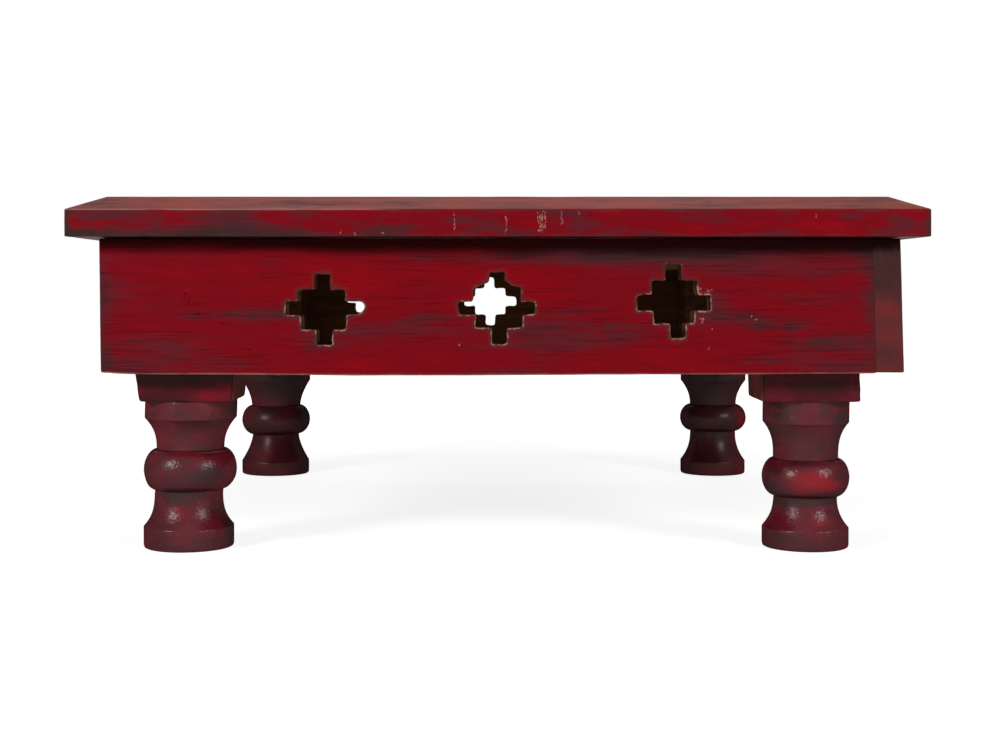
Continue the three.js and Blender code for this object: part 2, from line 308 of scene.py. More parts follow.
def add_bump(tree, shader, height, strength, distance):
    inputs = {"Height": height, "Strength": strength, "Distance": distance}
    bump = node(tree, "ShaderNodeBump", inputs)
    tree.links.new(bump.outputs[0], shader.inputs["Normal"])


def rub_mask(tree, place, layer, rubs):
    scale, breakup, threshold, softness = rubs[layer]
    return use(tree, rub_group, Place=place, Edge=attribute(tree, layer), Scale=scale,
               Breakup=breakup, Threshold=threshold, Softness=softness)["Mask"]


# %% [markdown]
# The flat wood was brushed along its length, so the paint is made once for the pieces that run
# from left to right and once for those that run from front to back.

# %% Flat painted wood
def brushed_red(tree, brush, tone):
    light = calc(tree, "MULTIPLY_ADD", brush["Bands"], 0.3, brush["Clouds"])
    light = calc(tree, "MULTIPLY_ADD", tone, -2.4, light)
    colour = mixed(tree, smooth_step(tree, light, 0.7, 1.6), RED, RED_BRIGHT)
    return mixed(tree, smooth_step(tree, light, 0.65, -0.2), colour, RED_DEEP)


def with_marks(tree, place, mask, marks):
    for across, low, high, width in marks:
        mark = use(tree, scratch_group, Place=place, Across=across * MM, Low=low * MM,
                   High=high * MM, Width=width * MM)["Mask"]
        mask = calc(tree, "MAXIMUM", mask, mark)
    return mask


def painted_wood(name, axis, scratches=(), knots=(), streaks=0.38, clouds=(6, 24), mottling=0.36,
                 blotches=(14, 90)):
    material, tree, shader, place = new_material(name)
    brush = use(tree, brush_group, Place=place, Clouds=along(axis, *clouds),
                Bands=along(axis, 12, 150), Hairs=along(axis, 26, 800))
    tone = attribute(tree, "tone")
    colour = brushed_red(tree, brush, tone)
    colour = laid_over(tree, colour, attribute(tree, "dust"), WEAR["dust"], DUST)
    cloudy = calc(tree, "MULTIPLY_ADD", calc(tree, "SUBTRACT", 0.5, brush["Clouds"]), mottling, tone)
    streaky = ranged(tree, brush["Hairs"], 0.72, 1.0)
    colour = laid_over(tree, colour, smooth_step(tree, cloudy, 0.0, 0.95), streaky, UNDERCOAT)
    bare = calc(tree, "SUBTRACT", 1.0, attribute(tree, "thick"))
    black = use(tree, blotch_group, Place=place, Stretch=along(axis, *blotches),
                Tone=calc(tree, "MULTIPLY", tone, 0.7), Cover=0.86, Softness=0.2)["Mask"]
    colour = laid_over(tree, colour, calc(tree, "MULTIPLY", black, WEAR["black"]), bare, UNDERCOAT)
    hairs = calc(tree, "MULTIPLY_ADD", tone, 0.6, brush["Hairs"])
    hairs = calc(tree, "MULTIPLY", smooth_step(tree, hairs, 0.6, 1.2), streaks)
    colour = laid_over(tree, colour, hairs, bare, GRIME_AND_SHADE)
    rubbed = rub_mask(tree, place, "edge", RUBS)
    colour = laid_over(tree, colour, rubbed, WEAR["rubbed"], RUBBED)
    if knots:
        colour = laid_over(tree, colour, with_marks(tree, place, 0.0, knots), WEAR["knot"], GRIME_AND_SHADE)
    # Painted shade under the top's overhang, with some dirt, streaked along the brush bands
    streaked = calc(tree, "MULTIPLY_ADD", calc(tree, "SUBTRACT", brush["Bands"], 0.5), 0.3,
                    attribute(tree, "grime_and_shade"))
    grime_and_shade = smooth_step(tree, streaked, 0.2, 1.0)
    colour = laid_over(tree, colour, grime_and_shade, WEAR["grime_and_shade"], GRIME_AND_SHADE)
    colour = laid_over(tree, colour, rub_mask(tree, place, "line", RUBS), WEAR["line"], PALE_LINE)
    chips = with_marks(tree, place, rub_mask(tree, place, "chip", RUBS), scratches)
    colour = laid_over(tree, colour, chips, WEAR["chip"], BARE_WOOD)
    # Hidden stain darkens under the top, as painted shade with some dirt, and at the front of the holes'
    # walls
    inside = attribute(tree, "inside")
    hidden = mixed(tree, brush["Bands"], STAIN, STAIN_LIGHT)
    hidden = mixed(tree, grime_and_shade, hidden, STAIN_DARK)
    tree.links.new(mixed(tree, inside, colour, hidden), shader.inputs["Base Color"])
    gloss = ranged(tree, brush["Bands"], 0.4, 0.52)
    tree.links.new(calc(tree, "MULTIPLY_ADD", inside, 0.3, gloss), shader.inputs["Roughness"])
    shader.inputs["Specular IOR Level"].default_value = PAINT_LEVEL
    relief = calc(tree, "MULTIPLY_ADD", brush["Hairs"], 0.5, brush["Bands"])
    relief = calc(tree, "MULTIPLY_ADD", chips, -1.5, relief)
    add_bump(tree, shader, relief, 0.45, 0.0003)
    return material


# Across from the middle, lower and upper end, half width
RIM_SCRATCHES = [
    (-30, 230, 241.5, 0.5), (5.6, 227, 239.5, 0.6), (27.8, 234, 242.5, 0.5), (29.3, 229, 241, 0.6),
    (30.6, 228.4, 243.4, 0.8), (32.6, 231, 243, 0.6), (44.3, 234, 242.9, 0.6),
    (55.8, 239.5, 243.4, 0.5), (-109, 227.5, 229.5, 0.8), (-98.5, 226, 228.5, 0.7),
    (-79, 226.5, 228.5, 0.8), (220.2, 238.2, 241.4, 0.4),
]

# Small pale specks and small dark knots on the front board, given the same way
FRONT_SPECKS = [
    (181.5, 167.3, 168.7, 1.4), (147.8, 146.8, 148.2, 1.1), (150.6, 160.4, 161.5, 0.9),
    (-27.2, 149.4, 150.8, 1), (178, 169, 171.5, 0.5),
]
FRONT_KNOTS = [
    (-219.7, 180.5, 187, 1.4), (-216.8, 179, 183.5, 1), (-209.2, 170.8, 172.4, 9),
    (-200, 169, 170, 7), (-192.3, 164.6, 165.8, 6), (-176.1, 146, 147.6, 4.5),
    (179, 171.2, 172.6, 5),
]

paint_x = painted_wood("red_paint_along_x", 0)
paint_y = painted_wood("red_paint_along_y", 1)
plank_paint = painted_wood("red_paint_planks", 0, (), (), 0.22, (24, 80), 0.6, (45, 150))
rim_paint = painted_wood("red_paint_rim", 0, RIM_SCRATCHES, (), 0.16, (24, 80), 0.6, (45, 150))
front_paint = painted_wood("red_paint_front", 0, FRONT_SPECKS, FRONT_KNOTS, blotches=(16, 170))
print("scratches, specks and knots:", len(RIM_SCRATCHES), len(FRONT_SPECKS), len(FRONT_KNOTS))


# %% [markdown]
# The legs were painted on the lathe, where the brush follows the turning, and waxed, so that each
# swelling shows its pair of window-like highlights. A coat over dull paint gives those. On worn wax
# it doesn't turn into a mirror at the sides, so its weight falls where the wood turns away. The
# back legs are duller, and so are the square heads, which get the weakest coat.

# %% Turned painted wood
def add_wax(tree, shader, moved, wax):
    coat, blur, ripples = wax
    toward = calc(tree, "SUBTRACT", 1.0, node(tree, "ShaderNodeLayerWeight").outputs["Facing"])
    toward = calc(tree, "MULTIPLY", toward, toward)
    tree.links.new(calc(tree, "MULTIPLY", toward, coat), shader.inputs["Coat Weight"])
    shader.inputs["Coat Roughness"].default_value = blur
    peel = node(tree, "ShaderNodeTexNoise", {"Vector": moved, "Scale": 420, "Detail": 3}).outputs["Fac"]
    inputs = {"Height": peel, "Strength": ripples, "Distance": 0.0006}
    tree.links.new(node(tree, "ShaderNodeBump", inputs).outputs[0], shader.inputs["Coat Normal"])
    return peel


def turned_paint(name, seed, wax):
    material, tree, shader, place = new_material(name)
    moved = node(tree, "ShaderNodeVectorMath", {0: place, 1: (seed, seed * 0.7, 0)}).outputs[0]
    brush = use(tree, brush_group, Place=moved, Clouds=(22, 22, 34), Bands=(45, 45, 160),
                Hairs=(80, 80, 900))
    tone = attribute(tree, "tone")
    light = calc(tree, "MULTIPLY_ADD", brush["Bands"], 0.4, brush["Clouds"])
    colour = mixed(tree, smooth_step(tree, light, 0.2, 1.3), LEG_DEEP, LEG_RED)
    bright = use(tree, blotch_group, Place=moved, Stretch=(26, 26, 60),
                 Tone=calc(tree, "MULTIPLY", tone, -0.7), Cover=0.8, Softness=0.32)["Mask"]
    colour = laid_over(tree, colour, bright, LEG_WEAR["bright"], LEG_BRIGHT)
    black = use(tree, blotch_group, Place=moved, Stretch=(40, 40, 110),
                Tone=tone, Cover=0.78, Softness=0.26)["Mask"]
    colour = laid_over(tree, colour, black, LEG_WEAR["black"], LEG_BLACK)
    hairs = smooth_step(tree, brush["Hairs"], 0.6, 1.0)
    colour = laid_over(tree, colour, hairs, LEG_WEAR["hairs"], LEG_BLACK)
    rubbed = rub_mask(tree, moved, "edge", LEG_RUBS)
    colour = laid_over(tree, colour, rubbed, LEG_WEAR["rubbed"], LEG_BLACK)
    colour = mixed(tree, attribute(tree, "dust"), colour, DUST)
    line = rub_mask(tree, moved, "line", LEG_RUBS)
    colour = laid_over(tree, colour, line, LEG_WEAR["line"], PALE_LINE)
    chips = rub_mask(tree, moved, "chip", LEG_RUBS)
    colour = laid_over(tree, colour, chips, LEG_WEAR["chip"], BARE_WOOD)
    hidden = mixed(tree, brush["Bands"], STAIN, STAIN_LIGHT)
    colour = mixed(tree, attribute(tree, "inside"), colour, hidden)
    tree.links.new(colour, shader.inputs["Base Color"])
    tree.links.new(ranged(tree, brush["Bands"], 0.5, 0.65), shader.inputs["Roughness"])
    shader.inputs["Specular IOR Level"].default_value = 0
    peel = add_wax(tree, shader, moved, wax)
    relief = calc(tree, "MULTIPLY_ADD", peel, 1.3, brush["Bands"])
    relief = calc(tree, "MULTIPLY_ADD", chips, -1, relief)
    add_bump(tree, shader, relief, 0.5, 0.0003)
    return material


head_paint = turned_paint("head_paint", 2.9, HEAD_WAX)
print("nodes in the heads' paint:", len(head_paint.node_tree.nodes))


# %% [markdown]
# The battens and the fasteners were never meant to be seen: sawn wood under dark stain, and
# steel that has gone dull and brown in places.

# %% Stained wood and steel
def stained_wood(name, axis):
    material, tree, shader, place = new_material(name)
    grain = use(tree, brush_group, Place=place, Clouds=along(axis, 5, 40),
                Bands=along(axis, 10, 260), Hairs=along(axis, 30, 1000))
    colour = mixed(tree, grain["Bands"], STAIN, STAIN_LIGHT)
    colour = laid_over(tree, colour, grain["Hairs"], 0.4, STAIN_LINES)
    tree.links.new(colour, shader.inputs["Base Color"])
    tree.links.new(ranged(tree, grain["Hairs"], 0.68, 0.85), shader.inputs["Roughness"])
    shader.inputs["Specular IOR Level"].default_value = PAINT_LEVEL
    add_bump(tree, shader, grain["Hairs"], 0.5, 0.0004)
    return material


def dull_steel(name):
    material, tree, shader, place = new_material(name)
    tarnish = stretched_noise(tree, place, (900, 900, 900))
    brown = smooth_step(tree, tarnish, 0.4, 0.7)
    colour = mixed(tree, brown, STEEL, STEEL_BROWN)
    tree.links.new(colour, shader.inputs["Base Color"])
    tree.links.new(ranged(tree, tarnish, 0.35, 0.7), shader.inputs["Roughness"])
    shader.inputs["Metallic"].default_value = 1
    add_bump(tree, shader, tarnish, 0.2, 0.0001)
    return material


batten_wood = stained_wood("stained_wood_along_y", 1)
steel = dull_steel("dull_steel")
print("materials:", [material.name for material in bpy.data.materials])

# %% [markdown]
# ## Meshes from numbers
# Every wooden piece is a mesh of its own making, with more points than the imported solids where
# an edge is rounded or worn. Each point carries its wear and its painted shade, as values that a
# material can read: how near it is to an arris (edge), whether it is on the pale line along one
# (line), how easily its paint chips (chip), how dark it is (tone), how dusty it is (dust), how
# much dirt and painted shade it gets (grime_and_shade), how thick its paint lies (thick), and
# whether it faces the hidden inside.

# %% Piece maker
LAYERS = ("edge", "line", "chip", "tone", "dust", "grime_and_shade", "thick", "inside")
SHARP_ANGLE = 38


def make_piece(name, points, faces, wear, material, nodes):
    mesh = bpy.data.meshes.new(name)
    mesh.from_pydata([Vector(point) * MM for point in points], [], faces)
    for layer in LAYERS:
        stored = mesh.attributes.new(layer, "FLOAT", "POINT")
        stored.data.foreach_set("value", [at_point.get(layer, 0.0) for at_point in wear])
    mesh.shade_smooth()
    mesh.set_sharp_from_angle(angle=math.radians(SHARP_ANGLE))
    mesh.materials.append(material)
    piece = bpy.data.objects.new(name, mesh)
    bpy.context.collection.objects.link(piece)
    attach(piece, "root")
    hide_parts(*nodes)
    return piece


def limit(value, low=0.0, high=1.0):
    return max(low, min(high, value))


def node_box(name):
    low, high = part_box(name)
    return Vector(low) / MM, Vector(high) / MM


# %% [markdown]
# Hand tools leave nothing quite straight. A smooth random wave moves every point a little, and
# nicks bite into the arrises here and there.

# %% Hand-made unevenness
WAVE_MM = 0.2
WAVE_LENGTH_MM = 35
NICK_MM = 0.8
NOISE_SEED = 11

# Unless it is seeded, noise_vector starts from the clock and each run gives another shape
noise.seed_set(NOISE_SEED)


def uneven(point, seed):
    place = Vector(point) / WAVE_LENGTH_MM + Vector((seed, seed * 2.3, seed * 0.7))
    return noise.noise_vector(place) * WAVE_MM + noise.noise_vector(place * 6) * WAVE_MM * 0.3


def nick(point, seed):
    place = Vector(point) / 11 + Vector((seed * 1.7, seed, 0))
    return NICK_MM * limit((noise.noise(place) - 0.25) * 4)


def spot_tone(across, up, spots):
    total = 0.0
    for spot_across, spot_up, reach_across, reach_up, amount in spots:
        away = ((across - spot_across) / reach_across) ** 2 + ((up - spot_up) / reach_up) ** 2
        total += amount * math.exp(-away)
    return total


# %% [markdown]
# ## The top
# The real top is planks glued edge to edge, with a bevel planed round the upper rim. One way is
# to bevel a box with a modifier, but then the wear has no points to sit on. Here each plank is a
# box of grid lines that crowd towards the arrises, its corners are rounded by a formula, and its
# height at each point is the lowest of the flat top and the bevels.

# %% Grid box
CROWDING = (0, 0.35, 0.8, 1.6, 3, 5.5, 9)


def grid_lines(low, high, arrises, fill):
    marks = {low, high}
    for arris in arrises:
        for step in CROWDING:
            marks.update(mark for mark in (arris - step, arris + step) if low < mark < high)
    marks = sorted(marks)
    lines = [marks[-1]]
    for start, end in zip(marks, marks[1:]):
        count = math.ceil((end - start) / fill)
        lines += [start + (end - start) * index / count for index in range(count)]
    return sorted(lines)


def grid_box(lines):
    points = []
    index_of = {}
    faces = []

    def corner(*index):
        if index not in index_of:
            index_of[index] = len(points)
            points.append(Vector([lines[axis][index[axis]] for axis in range(3)]))
        return index_of[index]

    for axis in range(3):
        one, two = (axis + 1) % 3, (axis + 2) % 3
        for last in (False, True):
            level = len(lines[axis]) - 1 if last else 0
            for i in range(len(lines[one]) - 1):
                for j in range(len(lines[two]) - 1):
                    ring = []
                    for step_i, step_j in ((0, 0), (1, 0), (1, 1), (0, 1)):
                        index = [0, 0, 0]
                        index[axis], index[one], index[two] = level, i + step_i, j + step_j
                        ring.append(corner(*index))
                    faces.append(ring if last else ring[::-1])
    return points, faces


def rounded(point, low, high, radius):
    inner = Vector([limit(point[a], low[a] + radius, high[a] - radius) for a in range(3)])
    away = point - inner
    if away.length < 1e-6:
        return point
    return inner + away.normalized() * radius


# %% [markdown]
# The rim seen in front has bright red patches, dark grey ones and a rubbed left end. They are
# painted as soft spots, each with a place, a reach and a strength: dark above zero, bright below.

# %% Rim and bevel spots
RIM_SPOTS = [
    (-299, 234, 3.5, 14, 0.6), (-292, 226, 26, 4, 0.75), (-255, 226, 50, 3.5, 0.6),
    (-240, 232, 60, 6, 0.24), (-262, 240, 30, 3, 0.16), (-222, 241, 12, 5, 0.14),
    (-190, 228, 40, 4.5, 0.42), (-180, 236, 30, 8, 0.22), (-138, 233, 11, 7, 0.32),
    (-165, 231, 12, 5, 0.2), (-140, 227, 50, 3, 0.4), (-122, 238, 14, 4, -0.04),
    (-92, 231, 14, 6, 0.2), (-60, 228, 60, 3, 0.16), (-70, 230, 9, 6, 0.35),
    (-48, 238, 12, 5, -0.06), (-22, 236, 10, 5, 0.2), (2, 232, 10, 6, 0.25),
    (44, 241, 18, 2.5, 0.4), (60, 232, 16, 5, 0.1), (120, 227, 90, 2.5, 0.14),
    (150, 235, 26, 3, 0.06), (243, 239.5, 7, 2, 0.6), (236, 234, 24, 5, -0.1),
    (275, 234, 12, 5, 0.08), (288, 232, 14, 9, 0.06), (299, 234, 3, 14, 0.6),
]
BEVEL_SPOTS = [
    (-100, -289, 50, 7, 0.45), (-160, -286, 26, 5, 0.2), (-20, -294, 40, 4, 0.12),
    (60, -286, 50, 6, 0.04), (145, -288, 22, 8, 0.26), (238, -288, 38, 9, 0.26),
    (-230, -282, 60, 5, 0.12), (-286, -290, 20, 9, 0.35),
]
TOP_SPOTS = [
    (-180, 120, 90, 60, 0.16), (120, -60, 130, 50, -0.16), (200, 190, 80, 50, 0.2),
    (-60, -170, 120, 40, 0.14), (-220, -120, 50, 70, -0.12), (20, 40, 90, 40, 0.1),
]

print("soft spots on rim, bevel and top:", len(RIM_SPOTS), len(BEVEL_SPOTS), len(TOP_SPOTS))

# %% [markdown]
# A plank's place comes from the frame, and its wear follows from its shape: arrises of the rim,
# the crest of the bevel and the seams are rubbed, the upper side is dusty, and what the frame of
# boards covers was never painted.

# %% Plank shape
TOP_LOW, TOP_HIGH = node_box("top_plank_1")
HALF_TOP = TOP_HIGH.x
UNDERSIDE = TOP_LOW.z
RIM_HEIGHT = 19.5
BEVEL_RISE = 10
BEVEL_INSET = 24
SKIN = 0.25  # left between a worn surface and the full size of the piece
ARRIS = 1.1
SEAM_EASE = 0.35  # how far past a glued seam the rounding starts, which leaves the seam crisp
RIM_GAP, SEAM_GAP = 0.05, 0.02
TOP_GAP = 0.05  # left between the planks and what stands under them
RUB_REACH = 5
GRID_FILL, RIM_FILL = 12, 3

RIM_TOP = UNDERSIDE + RIM_HEIGHT
BEVEL_CREST = HALF_TOP - BEVEL_INSET
COVERED_WIDTH = HALF_TOP - 38  # half the width of the frame's inside


def top_height(x, y):
    from_rim = HALF_TOP - max(abs(x), abs(y))
    return RIM_TOP + min(BEVEL_RISE, max(from_rim, 0) * BEVEL_RISE / BEVEL_INSET)


def near(value, arris):
    return limit(1 - abs(value - arris) / RUB_REACH)


def plank_tone(place):
    if place.y >= -BEVEL_CREST:
        return spot_tone(place.x, place.y, TOP_SPOTS)
    if place.z < RIM_TOP - 0.5:
        return spot_tone(place.x, place.z, RIM_SPOTS)
    return spot_tone(place.x, place.y, BEVEL_SPOTS)


def plank_wear(place, low, high):
    rim = max(near(abs(place.x), high.x), near(abs(place.y), HALF_TOP))
    at_rim_top = rim * near(place.z, RIM_TOP)
    at_rim_foot = rim * near(place.z, low.z)
    from_arris = math.hypot(HALF_TOP - max(abs(place.x), abs(place.y)), RIM_TOP - place.z)
    on_top = 1.0 if place.z > RIM_TOP else 0.0
    crest = max(near(abs(place.x), BEVEL_CREST), near(abs(place.y), BEVEL_CREST)) * 0.45
    seam = 0.6 * max(near(place.y, low.y), near(place.y, high.y)) * on_top
    covered = place.z < low.z + 0.5 and max(abs(place.x), abs(place.y)) < COVERED_WIDTH
    return {
        "edge": max(0.75 * at_rim_top, 0.8 * at_rim_foot, crest * on_top, seam),
        "line": limit(1.25 - from_arris / 1.3) * limit((-40 - place.x) / 60),
        "chip": 0.3 * at_rim_top ** 2 + 0.3 * at_rim_foot ** 2,
        "dust": on_top,
        "tone": plank_tone(place),
        "inside": 1.0 if covered else 0.0,
    }


# Waves only take wood away, so that no plank grows past its full size
def plank_wave(place, seed):
    wave = uneven(place, seed)
    wave.z = -abs(wave.z) if place.z > RIM_TOP else abs(wave.z)
    if abs(place.x) > BEVEL_CREST:
        wave.x = math.copysign(wave.x, -place.x)
    if abs(place.y) > BEVEL_CREST:
        wave.y = math.copysign(wave.y, -place.y)
    return wave


def make_plank(number):
    name = f"top_plank_{number}"
    low, high = node_box(name)
    first, last = number == 1, number == 5
    low += Vector((RIM_GAP, RIM_GAP if first else SEAM_GAP, SKIN))
    high -= Vector((RIM_GAP, SKIN if last else SEAM_GAP, SKIN))
    lines = [
        grid_lines(low.x, high.x, (low.x, -BEVEL_CREST, BEVEL_CREST, high.x), GRID_FILL),
        grid_lines(low.y, high.y, (low.y, high.y, -BEVEL_CREST, BEVEL_CREST), GRID_FILL),
        grid_lines(low.z, high.z, (low.z, high.z), RIM_FILL),
    ]
    points, faces = grid_box(lines)
    # A face folds from its first corner to its third, so it is turned where the mitre runs crosswise
    faces = [face[1:] + face[:1] if points[face[0]].x * points[face[0]].y < 0 else face
             for face in faces]
    eased_low = low - Vector((0, 0 if first else SEAM_EASE, 0))
    eased_high = high + Vector((0, 0 if last else SEAM_EASE, 0))
    full = high.z - low.z
    shaped, wear = [], []
    for point in points:
        place = rounded(point, eased_low, eased_high, ARRIS)
        surface = top_height(place.x, place.y) - SKIN
        place.z = low.z + (place.z - low.z) * (surface - low.z) / full
        wear.append(plank_wear(place, low, high))
        dent = nick(place, number) * wear[-1]["edge"] * (0.3 if place.x > BEVEL_CREST else 1)
        side_pull = place.y if abs(place.y) > BEVEL_CREST else 0
        inward = Vector((-place.x, -side_pull, 0)).normalized()
        shaped.append(place + plank_wave(place, number) + inward * dent)
    paint = rim_paint if first else plank_paint
    return make_piece(f"worn_plank_{number}", shaped, faces, wear, paint, [name])


for number in range(1, 6):
    plank = make_plank(number)
print("planks, faces in the last one:", len(plank.data.polygons))

# %% [markdown]
# ## The pierced boards
# Each cross was marked out and sawn by hand, so its steps are a little uneven. A boolean would
# cut the holes, but it leaves long thin triangles and no room for worn rims. Here the outlines
# are drawn first, each with a few copies set back from the edge, and a Delaunay triangulation
# fills the face between them. The copies nearest the edge sink to round the arris.

# %% Stepped crosses
def stepped_cross(levels, tips, shoulders, lower_shoulders, arms, lower_arms):
    top, shoulder_top, tip_top, tip_foot, shoulder_foot, foot = levels
    right = [(arms[1], top), (arms[1], shoulder_top), (shoulders[1], shoulder_top),
             (shoulders[1], tip_top), (tips[1], tip_top), (tips[1], tip_foot),
             (lower_shoulders[1], tip_foot), (lower_shoulders[1], shoulder_foot),
             (lower_arms[1], shoulder_foot), (lower_arms[1], foot)]
    left = [(lower_arms[0], foot), (lower_arms[0], shoulder_foot),
            (lower_shoulders[0], shoulder_foot), (lower_shoulders[0], tip_foot),
            (tips[0], tip_foot), (tips[0], tip_top), (shoulders[0], tip_top),
            (shoulders[0], shoulder_top), (arms[0], shoulder_top), (arms[0], top)]
    return [Vector(corner) for corner in right + left]


# The front crosses as they were sawn, across from the table's middle and up from the floor
FRONT_CROSSES = [
    stepped_cross((199.5, 188.9, 180.6, 171.1, 160.7, 150.3), (-149.1, -93.3),
                  (-140.6, -107.4), (-138.1, -106.5), (-128.6, -118), (-127.2, -116.1)),
    stepped_cross((201, 191.4, 180.4, 171.4, 162.2, 150.8), (-27.7, 26.3),
                  (-17.6, 16.7), (-15.4, 17.6), (-5.7, 4.8), (-3.9, 6.4)),
    stepped_cross((206.9, 195.2, 184.8, 174.2, 165, 154.9), (98.1, 149.9),
                  (108.6, 140.2), (109.9, 138), (118.2, 128.8), (121.6, 132.1)),
]
# The left one was filed round at its right tip
FRONT_CROSSES[0][4:6] = [Vector((-95.5, 180.4)), Vector((-93.7, 178)), Vector((-93.9, 174.6)),
                         Vector((-96, 172.3))]
# The middle one slipped at its upper arm: one shoulder slants, the other is left in a curve
FRONT_CROSSES[1][17:19] = [Vector((-16.9, 189.7)), Vector((-6.2, 193.9))]
FRONT_CROSSES[1][1:3] = [Vector((5.2, 195)), Vector((9.4, 191.4)), Vector((16.7, 190.4))]

print("corners of the front crosses:", [len(cross) for cross in FRONT_CROSSES])

# The others, each with its place and the width of its arms
CROSS_PLACES = {
    "right": [(-121, 175, 10), (1, 177, 11), (121.5, 176, 10)],
    "back": [(-119, 174, 10), (3.3, 176, 10), (118, 170, 12)],
    "left": [(-120, 177, 10), (-2, 175, 10), (122, 176, 11)],
}
OVERRUN = (9.5, 1.3)  # a saw cut that ran past the third back cross's tip: its length and width
CROSS_SPAN = 55
CROSS_RISE = 50.5
SHOULDER_SPAN = 32
SHOULDER_RISE = 28
SAW_SLIP = 0.8


def sawn_cross(across, up, arm_width, dice):
    def pair(span):
        slip = dice.uniform(-SAW_SLIP, SAW_SLIP)
        return (across - span / 2 + slip, across + span / 2 + slip)

    halves = (CROSS_RISE / 2, SHOULDER_RISE / 2, arm_width / 2)
    levels = [up + half for half in halves] + [up - half for half in reversed(halves)]
    return stepped_cross(levels, pair(CROSS_SPAN), pair(SHOULDER_SPAN), pair(SHOULDER_SPAN),
                         pair(arm_width), pair(arm_width))


# %% [markdown]
# A saw and a file leave rounded corners and lines that waver. A sawn line takes the plain
# corners, rounds each one with a short curve and lets smooth noise pull the points aside.

# %% Sawn line
OUTLINE_STEP = 2.4
CORNER_SHARES = (0, 0.33, 0.67, 1)


def sawn_line(corners, radius, waver, seed):
    def short_of(corner, other):
        reach = min(radius, (other - corner).length * 0.4)
        return corner + (other - corner).normalized() * reach

    line = []
    for index, corner in enumerate(corners):
        following = corners[(index + 1) % len(corners)]
        start, end = short_of(corner, corners[index - 1]), short_of(corner, following)
        for share in CORNER_SHARES:
            line.append(start.lerp(corner, share).lerp(corner.lerp(end, share), share))
        stop = short_of(following, corner)
        count = int((stop - end).length / OUTLINE_STEP)
        line += [end.lerp(stop, (k + 1) / (count + 1)) for k in range(count)]
    return [point + noise.noise_vector(point.to_3d() / 6 + Vector((0, 0, seed))).to_2d() * waver
            for point in line]


def set_back(line, distance):
    moved = []
    for index, point in enumerate(line):
        before = (point - line[index - 1]).normalized()
        after = (line[(index + 1) % len(line)] - point).normalized()
        turn = (before + after).normalized()
        moved.append(point + Vector((-turn.y, turn.x)) * distance)
    return moved


def holds(line, spot):
    inside = False
    for index, corner in enumerate(line):
        other = line[index - 1]
        if (corner.y > spot.y) != (other.y > spot.y):
            crossing = (other.x - corner.x) * (spot.y - corner.y) / (other.y - corner.y) + corner.x
            inside ^= spot.x < crossing
    return inside


# %% [markdown]
# The face between the outlines gets loose points as well, close together near a cut-out and
# wider apart elsewhere, so that the rubbed halo round each cross and the broad dark patches have
# points to sit on. Nail heads were punched under the face and filled, which leaves a shallow
# dish at each, so a few rings of points go there too.

# %% Board face
BOARD_ARRIS = 0.8
RINGS = (0, BOARD_ARRIS * 0.3, BOARD_ARRIS, 1.7)
FACE_STEPS = (Vector((8, 3.6)), Vector((3.2, 3.2)))
HALO_REACH = 9
DISH_RINGS = (0.01, 1.2, 2.2, 3.2, 4.2)
DISH_DEPTH = 0.3


def nearest_finder(lines):
    dots = [point.lerp(line[index - 1], share) for line in lines
            for index, point in enumerate(line) for share in (0, 0.33, 0.67)]
    finder = kdtree.KDTree(len(dots))
    for index, dot in enumerate(dots):
        finder.insert(dot.to_3d(), index)
    finder.balance()
    return finder


def board_face(outlines, dishes):
    flat, ring_of, links, loops = [], [], [], []
    for outline in outlines:
        for ring, distance in enumerate(RINGS):
            start, count = len(flat), len(outline)
            flat += set_back(outline, distance)
            ring_of += [ring] * count
            links += [(start + i, start + (i + 1) % count) for i in range(count)]
            if ring == 0:
                loops.append(list(range(start, start + count)))
    finder = nearest_finder(outlines)
    holes_finder = nearest_finder(outlines[1:])
    dice = random.Random(5)
    low = Vector((min(c.x for c in outlines[0]), min(c.y for c in outlines[0])))
    high = Vector((max(c.x for c in outlines[0]), max(c.y for c in outlines[0])))

    def on_wood(spot):
        return holds(outlines[0], spot) and not any(holds(hole, spot) for hole in outlines[1:])

    for step in FACE_STEPS:
        for i in range(int((high.x - low.x) / step.x)):
            for j in range(int((high.y - low.y) / step.y)):
                jitter = Vector((dice.uniform(0.25, 0.75), dice.uniform(0.25, 0.75)))
                spot = low + (Vector((i, j)) + jitter) * step
                away = finder.find(spot.to_3d())[2]
                by_hole = holes_finder.find(spot.to_3d())[2] < HALO_REACH
                clear = all((spot - dish).length > DISH_RINGS[-1] + 2 for dish in dishes)
                if away > RINGS[-1] + 1 and by_hole == (step == FACE_STEPS[1]) and clear and on_wood(spot):
                    flat.append(spot)
                    ring_of.append(len(RINGS))
    for dish in dishes:
        for radius in DISH_RINGS:
            for turn in range(12):
                angle = turn * math.tau / 12
                flat.append(dish + Vector((math.cos(angle), math.sin(angle))) * radius)
                ring_of.append(len(RINGS))
    result = delaunay_2d_cdt(flat, links, [], 0, 1e-4, True)
    spots, _, triangles, sources = result[:4]
    index_now = {old: new for new, olds in enumerate(sources) for old in olds}
    rings = [min((ring_of[old] for old in olds), default=len(RINGS)) for olds in sources]
    kept = [t for t in triangles if on_wood(sum((spots[i] for i in t), Vector((0, 0))) / 3)]
    loops = [[index_now[i] for i in loop] for loop in loops]
    return spots, rings, kept, loops, finder


# %% [markdown]
# The box of boards isn't quite square: seen from the front, its right end leans out a little
# towards the bottom and the front board was cut a few millimetres short at its left end.

